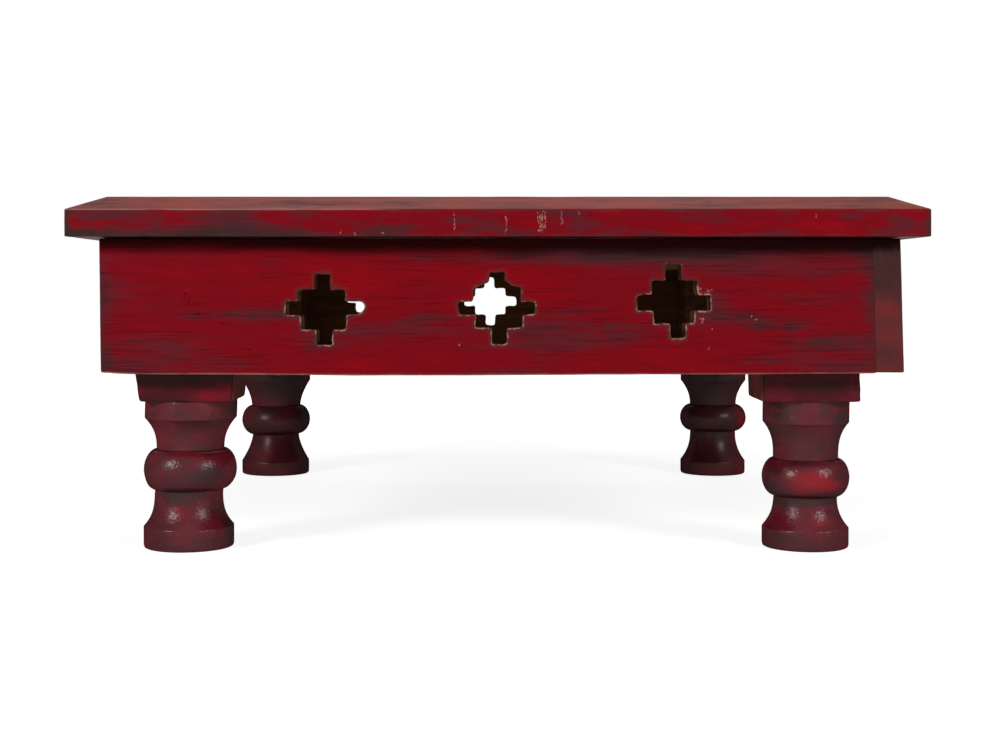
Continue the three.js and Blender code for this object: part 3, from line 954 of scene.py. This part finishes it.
# %% Box of boards
SIDES = ("front", "right", "back", "left")
DEPTHS = (0.06, 0.35, 0.65, 0.98)
BOARD_LOW, BOARD_HIGH = node_box("board_front")
BOARD_FOOT = BOARD_LOW.z
BOARD_HEIGHT = BOARD_HIGH.z - BOARD_FOOT
FRAME_HALF = -BOARD_LOW.x
THICKNESS = BOARD_HIGH.y - BOARD_LOW.y
LEAN_FROM = 160
LEAN_REACH = 100
RIGHT_LEAN = (1.5, 2.7)  # at the upper edge, and what the lower edge adds
LEFT_CUT = (1.5, 1.2)
print("boards in mm: height", round(BOARD_HEIGHT, 1), "thickness", round(THICKNESS, 1))


def leaned(point, side):
    down = limit((BOARD_FOOT + BOARD_HEIGHT - point.z) / BOARD_HEIGHT)
    right = limit((point.x - LEAN_FROM) / LEAN_REACH)
    left = limit((-point.x - LEAN_FROM) / LEAN_REACH) if side == "front" else 0
    shift = right * (RIGHT_LEAN[0] + RIGHT_LEAN[1] * down)
    shift += left * (LEFT_CUT[0] + LEFT_CUT[1] * down)
    return Vector((point.x + shift, point.y, point.z))


def foot_lift(side, across):
    if side == "front":
        sag = -0.85 * math.exp(-(((across + 62) / 110) ** 2))
        right_end = 0.75 * limit((across - 150) / 110) ** 2
        return sag + right_end + 1.35 * limit((-across - 245) / 32) ** 3
    if side == "right":
        return 1.2 * limit((-across - 150) / 100)
    return 0.8 * noise.noise(Vector((across / 90, SIDES.index(side), 0)))


# Painted shade under the top's overhang, with some dirt: a band below the planks, deeper to the right
def shade_and_grime_under_top(across, up):
    drop = BOARD_FOOT + BOARD_HEIGHT - up
    reach = 8.5 + 4 * limit((across + 150) / 120) + 2 * noise.noise(Vector((across / 30, 0, 0)))
    return (reach + 7 - drop) / 13


def turned_side(point, side):
    angle = SIDES.index(side) * math.pi / 2
    cos, sin = round(math.cos(angle)), round(math.sin(angle))
    return Vector((point.x * cos - point.y * sin, point.x * sin + point.y * cos, point.z))


def nail_dishes(side):
    dishes = []
    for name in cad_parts:
        if name.startswith(f"nail_{side}_"):
            low, high = node_box(name)
            middle = (low + high) / 2
            angle = -SIDES.index(side) * math.pi / 2
            across = middle.x * round(math.cos(angle)) - middle.y * round(math.sin(angle))
            dishes.append(Vector((across, middle.z)))
    return dishes


# Soft spots on each board: across, up, their reaches, strength
BOARD_SPOTS = {
    "front": [
        (75, 214, 60, 5, 0.7), (20, 209, 60, 4, 0.25), (150, 213, 40, 4, 0.5),
        (-60, 211, 50, 4, 0.25), (-281, 182, 6, 40, 0.34), (-279, 138, 10, 12, 0.3),
        (-262, 160, 20, 14, 0.16), (-245, 204, 30, 9, -0.06), (-195, 201, 40, 9, -0.1),
        (-150, 172, 24, 6, 0.3), (-190, 171, 40, 4, 0.3), (-212, 169, 14, 2.5, 0.3),
        (-158, 205, 14, 10, 0.26), (-225, 152, 50, 12, 0.24), (-170, 138, 60, 9, 0.26),
        (-184, 155, 20, 6, 0.12), (-255, 133, 26, 5, 0.2), (-128, 152, 16, 10, 0.26),
        (-100, 160, 20, 8, 0.12), (-90, 190, 30, 14, -0.1), (-100, 138, 50, 7, -0.14),
        (-55, 184, 26, 12, 0.16), (-45, 169, 26, 4, 0.3), (-62, 158, 20, 5, 0.2),
        (-20, 139, 60, 6, -0.14), (50, 201, 50, 7, -0.14), (22, 163, 26, 5, 0.3),
        (62, 174, 36, 4, 0.3), (84, 163, 40, 3.5, 0.4), (76, 156, 36, 2.5, 0.34),
        (50, 150, 50, 2.5, 0.24), (64, 188, 30, 7, 0.05), (80, 133, 50, 2.5, 0.3),
        (172, 170, 24, 3.5, 0.5), (195, 164, 30, 3, 0.45), (152, 180, 12, 10, 0.25),
        (215, 184, 40, 3, 0.2), (200, 202, 60, 8, 0.14), (240, 180, 50, 30, 0.1),
        (266, 182, 9, 45, 0.42), (228, 152, 34, 4, 0.45), (215, 144, 40, 5, 0.3),
        (180, 138, 24, 4, 0.34), (240, 134, 40, 4, 0.25), (262, 218, 16, 8, 0.4),
    ],
    "right": [
        (-272, 201, 16, 25, 1.2), (-272, 222, 16, 12, 0.4), (-272, 166, 16, 8, 0.4),
        (-272, 140, 16, 14, 0.85), (-150, 150, 70, 14, 0.16), (40, 212, 90, 8, 0.35),
        (200, 180, 60, 18, -0.15), (262, 150, 24, 40, 0.25),
    ],
    "back": [
        (-180, 212, 80, 8, 0.35), (60, 145, 90, 12, 0.16), (220, 190, 50, 20, -0.15),
        (-262, 170, 22, 40, 0.3),
    ],
    "left": [
        (-262, 180, 24, 40, 0.3), (-80, 215, 90, 7, 0.35), (120, 150, 70, 12, 0.18),
        (-170, 160, 50, 16, -0.15),
    ],
}
# Where the paint beside the front's right cross was worn to the wood, given the same way
WORN_SPOTS = {"front": [(146, 188.5, 6, 5, 0.66), (144, 169, 6, 5, 0.62), (123, 152.5, 9, 2.5, 0.3)]}
print("soft spots on the boards:", {side: len(spots) for side, spots in BOARD_SPOTS.items()})

# %% [markdown]
# The outline of a board is a plain rectangle. Its holes follow the crosses, and their corners are
# rounder on the boards that are seen less.

# %% Outlines of a board
BOARD_CORNER = 1.6
HOLE_CORNER = {"front": 1.5, "right": 2, "back": 2.6, "left": 2}
HOLE_WAVER = 0.75


def board_outlines(side):
    low = Vector((-FRAME_HALF + SKIN, BOARD_FOOT + SKIN))
    high = Vector((BOARD_HIGH.x + 0.2, BOARD_FOOT + BOARD_HEIGHT - TOP_GAP))
    outer = [low, Vector((high.x, low.y)), high, Vector((low.x, high.y))]
    dice = random.Random(SIDES.index(side) + 11)
    crosses = FRONT_CROSSES
    if side != "front":
        crosses = [sawn_cross(*place, dice) for place in CROSS_PLACES[side]]
    if side == "back":
        tip = crosses[2][4]
        run, width = OVERRUN
        crosses[2][4:5] = [tip + Vector(step) for step in ((run, 0), (run, -width), (0, -width))]
    lines = [sawn_line(outer, BOARD_CORNER, 0.0, 0)]
    corner = HOLE_CORNER[side]
    return lines + [sawn_line(cross, corner, HOLE_WAVER, dice.uniform(0, 9)) for cross in crosses]


# %% [markdown]
# The outer face of a board was worn most: the arrises of the holes are rubbed through to the black
# in a soft halo and chipped to the wood, more at their lower sides. Under the top a band of painted
# shade, with some dirt, darkens the board. Where a board covers another one's end the joint is left
# nearly sharp.

# %% Wear of a board
JOINT_ARRIS = 0.1
JOINT_GAP = 0.03
JOINT_REACH = THICKNESS + 4
CROSS_REACH = 36  # from a cross's middle to past its farthest corner
FOOT_FADE = 30
CUT_PAINT = (1, THICKNESS - 0.3)  # between these depths the paint in the cuts lies thick and dull


def sunk(ring, joint):
    arris = JOINT_ARRIS if joint else BOARD_ARRIS
    back = arris - min(RINGS[ring] if ring < len(RINGS) else arris, arris)
    return arris - math.sqrt(arris ** 2 - back ** 2)


def chip_at(side, spot, ring, centres):
    worn = spot_tone(spot.x, spot.y, WORN_SPOTS.get(side, ()))
    if ring > 2:
        return worn
    away = spot - min(centres, key=lambda centre: (spot - centre).length)
    if away.length < CROSS_REACH:
        return worn + 0.42 + 0.36 * limit(0.5 - away.y / 28 + abs(away.x) / 90)
    return 0.2


def board_point(side, spot, depth):
    place = Vector((spot.x, -FRAME_HALF + depth, spot.y))
    wave = uneven(place, SIDES.index(side) + 3)
    wave.y = abs(wave.y) * (1 if depth < THICKNESS / 2 else -1)
    if spot.y > BOARD_FOOT + BOARD_HEIGHT - 3:
        wave.z = -abs(wave.z)
    if spot.x > BOARD_HIGH.x - 2:
        wave.x = -abs(wave.x) * 0.1
    if spot.x < -FRAME_HALF + JOINT_REACH and depth > THICKNESS / 2:
        wave.y = 0
    place.z += foot_lift(side, spot.x) * limit(1 - (spot.y - BOARD_FOOT) / FOOT_FADE)
    return leaned(turned_side(place + wave, side), side)


# Near the top both faces get painted shade with some dirt; in a hole the front half of the walls is darker
def board_wear(side, spot, depth, edge, chip, inside):
    in_cut = CUT_PAINT[0] < depth < CUT_PAINT[1]
    on_foot = spot.y < BOARD_FOOT + 1.2 and depth < 1.5
    in_hole = inside and depth < THICKNESS / 2
    return {
        "edge": edge,
        "chip": chip,
        "tone": spot_tone(spot.x, spot.y, BOARD_SPOTS[side]),
        "grime_and_shade": 1.0 if in_hole else shade_and_grime_under_top(spot.x, spot.y),
        "line": 0.62 if on_foot else 0.0,
        "thick": 1.0 if in_cut else 0.0,
        "dust": 0.35 if in_cut else 0.0,
        "inside": inside,
    }


# %% [markdown]
# A board is two such faces joined by walls, along its outline and round each hole. Both faces use
# the same triangles, so the walls join them point to point.

# %% Board mesh
def make_board(side):
    name = f"board_{side}"
    outlines = board_outlines(side)
    dishes = nail_dishes(side)
    spots, rings, triangles, loops, finder = board_face(outlines, dishes)
    centres = [sum(hole, Vector((0, 0))) / len(hole) for hole in outlines[1:]]
    by_hole = nearest_finder(outlines[1:])
    points, wear = [], []

    def add_point(spot, depth, edge, chip, inside):
        points.append(board_point(side, spot, depth))
        wear.append(board_wear(side, spot, depth, edge, chip, inside))

    for spot, ring in zip(spots, rings):
        dish = min((spot - centre).length for centre in dishes)
        dent = DISH_DEPTH * limit(1 - dish / DISH_RINGS[-1])
        halo = 0.85 * limit(1.1 - by_hole.find(spot.to_3d())[2] / 5)
        rim = 0.55 * limit(1 - finder.find(spot.to_3d())[2] / 4)
        edge = max(halo, rim, 0.3 * limit(1.4 - dish / 3))
        depth = SKIN + sunk(ring, spot.x > BOARD_HIGH.x - 3) + dent
        add_point(spot, depth, edge, chip_at(side, spot, ring, centres), 0.0)
    for spot, ring in zip(spots, rings):
        joint = spot.x < -FRAME_HALF + JOINT_REACH
        depth = THICKNESS - (JOINT_GAP if joint else SKIN) - sunk(ring, joint)
        add_point(spot, depth, 0.0, 0.0, 1.0)
    count = len(spots)
    faces = [tuple(triangle) for triangle in triangles]
    faces += [tuple(count + i for i in reversed(triangle)) for triangle in triangles]
    for number, loop in enumerate(loops):
        rows = [loop]
        for share in DEPTHS:
            start = len(points)
            for i in loop:
                add_point(spots[i], THICKNESS * share, 0.0, 0.0, 1.0 if number else 0.0)
            rows.append(list(range(start, start + len(loop))))
        rows.append([count + i for i in loop])
        for front, behind in zip(rows, rows[1:]):
            for i in range(len(loop)):
                j = (i + 1) % len(loop)
                faces.append((front[i], behind[i], behind[j], front[j]))
    material = {"front": front_paint, "back": paint_x}.get(side, paint_y)
    return make_piece(f"pierced_{name}", points, faces, wear, material, [name])


for side in SIDES:
    board = make_board(side)
print("boards, faces in the last one:", len(board.data.polygons))

# %% [markdown]
# ## The legs
# A leg starts as a square baulk. Its head is left square and the rest is turned on a lathe. In
# Blender a lathe is the Screw modifier, but the head isn't round, so the leg is built from rings
# of points: round ones up to the collar, then square ones with rounded corners for the head. All
# rings have the same number of points, so they join into one closed skin.

# %% Ring angles and shapes
QUARTER = [index * 3.75 for index in range(24)] + [43.6, 44.4, 45.6, 46.4]
ANGLES = [math.radians(base + step) for base in (0, 90, 180, 270) for step in sorted(QUARTER)]
print("points in a ring:", len(ANGLES))


def square_reach(angle, half, corner):
    cos, sin = abs(math.cos(angle)), abs(math.sin(angle))
    straight = half / max(cos, sin)
    if straight * min(cos, sin) <= half - corner:
        return straight
    centre = half - corner
    along = centre * (cos + sin)
    return along + math.sqrt(along ** 2 - 2 * centre ** 2 + corner ** 2)


def bulge(share, power):
    return (1 - limit(abs(share)) ** power) ** (1 / power)


# %% [markdown]
# Each leg was turned by eye, so each has its own sizes. Their heads taper a little at the bottom
# where the chisel left them, and no leg stands exactly under its head.

# %% Leg sizes
BLOCK_CORNER = 2
TURNINGS = {
    "front_left": dict(collar=33.55, foot=32.85, ring=33.8, neck=24.6, ankle=24.8, foot_top=16,
                       ring_foot=42.5, ring_top=72.1, collar_foot=94.5, upper_bend=2.5,
                       lower_bend=3.2, taper=1.4, flare=(0, 1), shifts=(0.55, 1.7, 2.4, 2.8)),
    "front_right": dict(collar=31.4, foot=31.4, ring=31.8, neck=23.6, ankle=23, foot_top=15,
                        ring_foot=37.5, ring_top=64.9, collar_foot=91.2, upper_bend=3,
                        lower_bend=2.5, taper=0.4, flare=(1.2, 0), shifts=(-0.65, -0.35, 0.1, -1.7)),
    "back_right": dict(collar=33, foot=32.8, ring=33.6, neck=23.4, ankle=22.9, foot_top=14,
                       ring_foot=43.8, ring_top=70.8, collar_foot=94.9, upper_bend=2.1,
                       lower_bend=2.45, taper=0.4, flare=(0, 0), shifts=(-1.75, -1.4, -1.1, -1.1)),
    "back_left": dict(collar=34.5, foot=34.1, ring=34.7, neck=24.8, ankle=23.4, foot_top=14.1,
                      ring_foot=40.5, ring_top=69.7, collar_foot=94.9, upper_bend=1.7,
                      lower_bend=1.6, taper=0.4, flare=(0, 0), shifts=(3.5, 3.8, 4.1, 4.1)),
}
HALF_BLOCK = 34
BLOCK_FOOT = 108
RING_POWER = 1.9
LEDGE = 0.5  # small ledge where a cove meets the foot or the collar
SHOULDER_LIFT = 0.5  # how far the lathe rounded the corners of the head
INNER_SWELL = 1.8  # the baulk was left a little wider towards the table's middle


def leg_profile(t):
    rows = [(0.0, 0.0), (t["foot"] * 0.5, 0.0), (t["foot"] - 1.6, 0.0), (t["foot"] - 0.6, 0.5),
            (t["foot"] - 0.1, 1.7)]
    rows += [(t["foot"], height) for height in (4, 7, 10, t["foot_top"] - 1.2)]
    rows += [(t["foot"] - 0.15, t["foot_top"] - 0.4), (t["foot"] - LEDGE, t["foot_top"])]
    span = t["ring_foot"] - t["foot_top"]
    for index in range(1, 15):
        share = 1 - index / 14
        radius = t["ankle"] + (t["foot"] - LEDGE - t["ankle"]) * share ** t["lower_bend"]
        rows.append((radius, t["ring_foot"] - share * span))
    middle = (t["ring_foot"] + t["ring_top"]) / 2
    half = (t["ring_top"] - t["ring_foot"]) / 2
    for index in range(1, 24):
        share = -math.cos(math.pi * index / 24)
        neck = t["ankle"] if share < 0 else t["neck"]
        rows.append((neck + (t["ring"] - neck) * bulge(share, RING_POWER), middle + share * half))
    span = t["collar_foot"] - t["ring_top"]
    for index in range(15):
        share = index / 14
        radius = t["neck"] + (t["collar"] - LEDGE - t["neck"]) * share ** t["upper_bend"]
        rows.append((radius, t["ring_top"] + share * span))
    rows += [(t["collar"] - 0.1, t["collar_foot"] + 0.4), (t["collar"], t["collar_foot"] + 1.2)]
    return rows


# Soft spots on the legs: degrees from the front, up, their reaches, strength. The wide dark bands
# just under the rings of the front legs are painted shadow.
LEG_SPOTS = {
    "front_left": [
        (34, 112, 20, 7, -0.42), (0, 127, 90, 7, 0.5), (-35, 120, 20, 12, 0.25),
        (60, 100, 18, 6, 0.5), (90, 118, 25, 12, 0.2), (48, 98, 12, 3, -0.5),
        (20, 69, 32, 4, -0.3), (38, 55, 22, 8, 0.45), (-14, 39, 18, 5, 0.8), (38, 40, 22, 6, -0.3),
        (-8, 29, 26, 6, -0.4), (-55, 28, 20, 8, -0.15), (0, 41, 100, 2.5, 0.45),
        (60, 28, 20, 8, 0.15), (25, 7, 25, 5, 0.2), (80, 12, 20, 14, 0.6), (-85, 60, 20, 12, 0.4),
        (-35, 8, 22, 6, -0.1), (-50, 62, 22, 10, 0.15), (-10, 112, 30, 5, -0.1),
        (0, 85, 60, 8, -0.12), (-10, 101, 60, 6, 0.28), (0, 26, 70, 7, 0.1),
    ],
    "front_right": [
        (-8, 50, 30, 9, -0.85), (25, 46, 20, 6, -0.5), (-65, 48, 20, 14, 0.5), (0, 39, 90, 3, 0.6),
        (0, 35, 90, 3, 0.7), (5, 100, 18, 6, -0.25), (-50, 100, 30, 10, 0.4),
        (55, 98, 25, 10, 0.4), (-50, 85, 30, 10, 0.25), (50, 85, 25, 8, 0.35),
        (8, 24, 10, 8, -0.3), (-45, 26, 20, 8, 0.2), (0, 122, 60, 7, 0.42), (5, 111, 25, 4, -0.2),
        (-25, 7, 60, 5, 0.3), (-90, 118, 22, 14, -1.1), (50, 12, 20, 8, 0.2),
        (0, 101, 60, 5, 0.15),
    ],
    "back_right": [
        (0, 60, 60, 60, 0.52), (50, 56, 20, 9, -0.7), (60, 110, 30, 12, 0.4),
        (0, 100, 90, 20, 0.3),
    ],
    "back_left": [
        (0, 60, 90, 60, 0.16), (-60, 50, 40, 20, 0.2), (30, 80, 60, 20, 0.3),
        (10, 28, 30, 10, -0.05), (0, 105, 90, 20, 0.4), (0, 10, 90, 10, 0.15),
    ],
}
LEG_SEEDS = {"front_left": 1.3, "front_right": 4.1, "back_right": 7.7, "back_left": 9.2}
print("soft spots on the legs:", {corner: len(spots) for corner, spots in LEG_SPOTS.items()})


# %% [markdown]
# A leg is a stack of rings from its foot to the top. The head's rings are square, and the lowest of
# them are drawn in a little, where the chisel tapered it.

# %% Rings of a leg
def leg_rings(turning, top):
    foot = BLOCK_FOOT
    half, taper = HALF_BLOCK, turning["taper"]
    rings = [("round", radius, height) for radius, height in leg_profile(turning)]
    rings += [("round", turning["collar"], height)
              for height in (turning["collar_foot"] + 5, foot - 2, foot)]
    rings += [("square", half - taper - 1, foot), ("square", half - taper - 0.3, foot + 0.4),
              ("square", half - taper, foot + 1.4)]
    rings += [("square", half - taper * limit(1 - height / 20), foot + height)
              for height in (3.5, 6, 9, 12, 15, 18, 20.6)]
    rings += [("square", half, height)
              for height in (BOARD_FOOT + 0.4, 133, 140, 165, 190, 215, top - 1)]
    return rings + [("square", half - 1, top), ("square", half * 0.5, top)]


# Below the boards the head was shaved off its place, and above their feet it fills the corner
def sideways(turning, kind, height):
    at_foot, at_ring, at_collar, at_block = turning["shifts"]
    if kind == "square":
        return at_block if height < BOARD_FOOT else 0
    if height < turning["ring_top"]:
        share = limit((height - turning["ring_foot"] + 4) / 12)
        return at_foot + (at_ring - at_foot) * share
    share = (height - turning["ring_top"]) / (BLOCK_FOOT - turning["ring_top"])
    return at_ring + (at_collar - at_ring) * share


# %% [markdown]
# The square head was shaved to fit the frame's corner. Under the boards it flares or tapers a
# little, and the lathe, which was stopped by eye, rounded the lower corners of the square.

# %% Head of a leg and its wear
FLARE_FROM, FLARE_RISE = 112, 13
LIFT_TO, LIFT_FADE = 126, 18
CORNER_PAST_SIDE = 0.41  # the corner of a square is this share farther out than its side
HIDDEN_FROM, HIDDEN_FADE = 132, 6
INNER_DUST = 0.42
LINE_WIDTH = 1.2


# outer_side is 1 on the right legs and -1 on the left ones
def shaved_head(place, turning, outer_side, height, past_side):
    outward = place.x / (outer_side * HALF_BLOCK)
    narrow, wide = turning["flare"]
    up = limit((height - FLARE_FROM) / FLARE_RISE)
    place.x += outer_side * (narrow + (wide - narrow) * up) * limit(outward)
    place.x -= outer_side * INNER_SWELL * limit(-outward)
    corner_share = limit(past_side / CORNER_PAST_SIDE)
    place.z += SHOULDER_LIFT * corner_share ** 3 * limit((LIFT_TO - height) / LIFT_FADE)


def leg_wear(corner, place, height, on_corner, ledge, on_inner):
    turning = TURNINGS[corner]
    front = math.degrees(math.atan2(place.x, -place.y))
    line = 0.8 * limit(1 - abs(height - turning["foot_top"] - 0.3) / LINE_WIDTH)
    line += 0.7 * limit(1 - abs(height - turning["ring_top"] + 1.2) / LINE_WIDTH)
    line += 0.6 * limit(1 - abs(height - BLOCK_FOOT - 0.7) / LINE_WIDTH)
    return {
        "edge": max(on_corner, ledge * 0.85, limit(1 - height / 3) * 0.9),
        "line": line,
        "chip": 0.5 * ledge + 0.4 * on_corner,
        "tone": spot_tone(front, height, LEG_SPOTS[corner]),
        "dust": INNER_DUST if on_inner else 0.0,
        "inside": limit((height - HIDDEN_FROM) / HIDDEN_FADE),
    }


# %% [markdown]
# Now the rings are joined into one closed skin, and each point is moved by the wave, the nicks and
# the shaving before its wear is noted.

# %% Leg mesh
def make_leg(corner):
    name = f"leg_{corner}"
    low, high = node_box(name)
    middle = (low + high) / 2
    outer_side = math.copysign(1, middle.x)
    turning, seed, half = TURNINGS[corner], LEG_SEEDS[corner], HALF_BLOCK
    top = high.z - TOP_GAP
    rings = leg_rings(turning, top)
    ledges = (turning["foot_top"], turning["collar_foot"], BLOCK_FOOT, turning["ring_top"])
    points = [Vector((middle.x + turning["shifts"][0], middle.y, 0))]
    wear = [{}]
    for kind, reach, height in rings[1:]:
        square = kind == "square"
        ledge = max(limit(1 - abs(height - level) / 2.5) for level in ledges)
        for angle in ANGLES:
            radius = square_reach(angle, reach, BLOCK_CORNER) if square else reach
            place = Vector((math.cos(angle) * radius, math.sin(angle) * radius, height))
            on_inner = square and place.x / (outer_side * half) < -0.9 and abs(place.y) < half - 4
            if square and height < BOARD_FOOT:
                shaved_head(place, turning, outer_side, height, radius / reach - 1)
            on_corner = limit((radius - half * 1.3) / (half * 0.1)) if square else 0.0
            wave = uneven(place + middle, seed)
            wave.z *= 1 if 2 < height < 200 else 0
            inward = Vector((-place.x, -place.y, 0)).normalized()
            dent = nick(place, seed) * (on_corner + 0.4 * ledge)
            moved = place + wave + inward * (dent + SKIN * square)
            moved.x += middle.x + sideways(turning, kind, height)
            moved.y += middle.y
            points.append(moved)
            wear.append(leg_wear(corner, place, height, on_corner, ledge, on_inner))
    points.append(Vector((middle.x, middle.y, top)))
    wear.append({"inside": 1.0})
    around = len(ANGLES)
    faces = [(0, 1 + (i + 1) % around, 1 + i) for i in range(around)]
    for row in range(len(rings) - 2):
        start = 1 + row * around
        for i in range(around):
            j = (i + 1) % around
            faces.append((start + i, start + j, start + around + j, start + around + i))
    last = 1 + (len(rings) - 2) * around
    faces += [(last + i, last + (i + 1) % around, len(points) - 1) for i in range(around)]
    wax = FRONT_WAX if corner.startswith("front") else BACK_WAX
    paint = turned_paint(f"turned_paint_{corner}", seed, wax)
    leg = make_piece(f"turned_{name}", points, faces, wear, paint, [name])
    leg.data.materials.append(head_paint)
    first_square = [kind for kind, _, _ in rings].index("square")
    for number, face in enumerate(leg.data.polygons):
        if number >= around * (first_square - 1):
            face.material_index = 1
    return leg


for corner in TURNINGS:
    leg = make_leg(corner)
print("legs, faces in the last one:", len(leg.data.polygons))

# %% [markdown]
# ## Battens and fasteners
# Two battens under the planks hold them together. They are sawn and stained, with eased arrises,
# so the same grid box serves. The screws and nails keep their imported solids, which are already
# their true shape, and only get their steel.

# %% Battens, screws and nails
for side in ("left", "right"):
    name = f"batten_{side}"
    low, high = node_box(name)
    low, high = low + Vector((SKIN, SKIN, SKIN)), high - Vector((SKIN, SKIN, TOP_GAP))
    lines = [grid_lines(low[a], high[a], (low[a], high[a]), 14) for a in range(3)]
    points, faces = grid_box(lines)
    shaped = [rounded(point, low, high, ARRIS) for point in points]
    shaped = [point + uneven(point, 21) for point in shaped]
    wear = [{}] * len(shaped)
    make_piece(f"sawn_{name}", shaped, faces, wear, batten_wood, [name])

fasteners = [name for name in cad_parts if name.startswith(("screw_", "nail_"))]
for name in fasteners:
    holder = bpy.data.objects[name]
    holder.data.materials.clear()
    holder.data.materials.append(steel)
print("screws and nails in steel:", len(fasteners))

# %% [markdown]
# ## Studio
# The table stands on a white floor in a white room. Lamps never make it white: the floor and the
# world simply show white to the camera and in reflections, while what lights the wood is soft
# and plain. Near the table the floor shows a little less than white, so that its shadow stays.

# %% Floor
FLOOR_HALF = 6000
FLOOR_GREY = (0.8, 0.4)  # what lights the table from below, and what the camera sees
GLOW_NEAR = 0.85
GLOW_REACH = (0.5, 1.3)


def seen_directly(tree):
    path = node(tree, "ShaderNodeLightPath").outputs
    seen = calc(tree, "MAXIMUM", path["Is Camera Ray"], path["Is Glossy Ray"])
    return calc(tree, "MAXIMUM", seen, path["Is Transmission Ray"])


def make_floor():
    corners = [(-1, -1), (1, -1), (1, 1), (-1, 1)]
    mesh = bpy.data.meshes.new("floor")
    points = [(x * FLOOR_HALF * MM, y * FLOOR_HALF * MM, 0) for x, y in corners]
    mesh.from_pydata(points, [], [(0, 1, 2, 3)])
    floor = bpy.data.objects.new("floor", mesh)
    bpy.context.collection.objects.link(floor)
    material = bpy.data.materials.new("white_floor")
    material.use_nodes = True
    tree = material.node_tree
    tree.nodes.clear()
    place = node(tree, "ShaderNodeTexCoord").outputs["Object"]
    away = node(tree, "ShaderNodeVectorMath", {0: place}, operation="LENGTH").outputs["Value"]
    glow_level = ranged(tree, smooth_step(tree, away, *GLOW_REACH), GLOW_NEAR, 1.0)
    seen = seen_directly(tree)
    grey = ranged(tree, seen, *FLOOR_GREY)
    matt = node(tree, "ShaderNodeBsdfDiffuse", {"Color": grey})
    glow = node(tree, "ShaderNodeEmission", {"Strength": calc(tree, "MULTIPLY", seen, glow_level)})
    both = node(tree, "ShaderNodeAddShader", {0: matt.outputs[0], 1: glow.outputs[0]})
    output = node(tree, "ShaderNodeOutputMaterial")
    tree.links.new(both.outputs[0], output.inputs[0])
    mesh.materials.append(material)


make_floor()
print("floor in mm:", 2 * FLOOR_HALF)

# %% [markdown]
# Two soft boxes stand well to the left and right in front, above the table. They light the boards,
# throw the short shadow under the overhang and put two highlights on each leg. A third one above
# lights the bevel, and a weak world fills the shadows.

# %% World and lamps
WORLD_LIGHT = 0.1

world = bpy.data.worlds.new("white_room")
world.use_nodes = True
bpy.context.scene.world = world
tree = world.node_tree
background = tree.nodes["Background"]
strength = ranged(tree, seen_directly(tree), WORLD_LIGHT, 1.0)
tree.links.new(strength, background.inputs["Strength"])
background.inputs["Color"].default_value = (1, 1, 1, 1)


def soft_box(name, place, aim, width, height, power):
    lamp = bpy.data.lights.new(name, "AREA")
    lamp.shape = "RECTANGLE"
    lamp.size, lamp.size_y = width, height
    lamp.energy = power
    holder = bpy.data.objects.new(name, lamp)
    holder.location = place
    holder.rotation_euler = (Vector(aim) - Vector(place)).to_track_quat("-Z", "Y").to_euler()
    holder.visible_camera = False
    bpy.context.collection.objects.link(holder)
    return holder


TABLE_FRONT = (0, -0.2, 0.15)
soft_box("soft_box_left", (-1.3, -1.37, 0.79), TABLE_FRONT, 0.45, 0.3, 18.6)
soft_box("soft_box_right", (1.3, -1.31, 0.79), TABLE_FRONT, 0.45, 0.3, 14.5)
soft_box("soft_box_above", (0, -0.5, 1.6), (0, 0, 0.2), 0.9, 0.6, 5.8)
soft_box("soft_box_back", (0, 1.6, 1.2), (0, 0, 0.2), 1.2, 0.6, 5)
bpy.context.scene.view_settings.view_transform = "Standard"
print("lamps:", [lamp.name for lamp in bpy.data.lights])
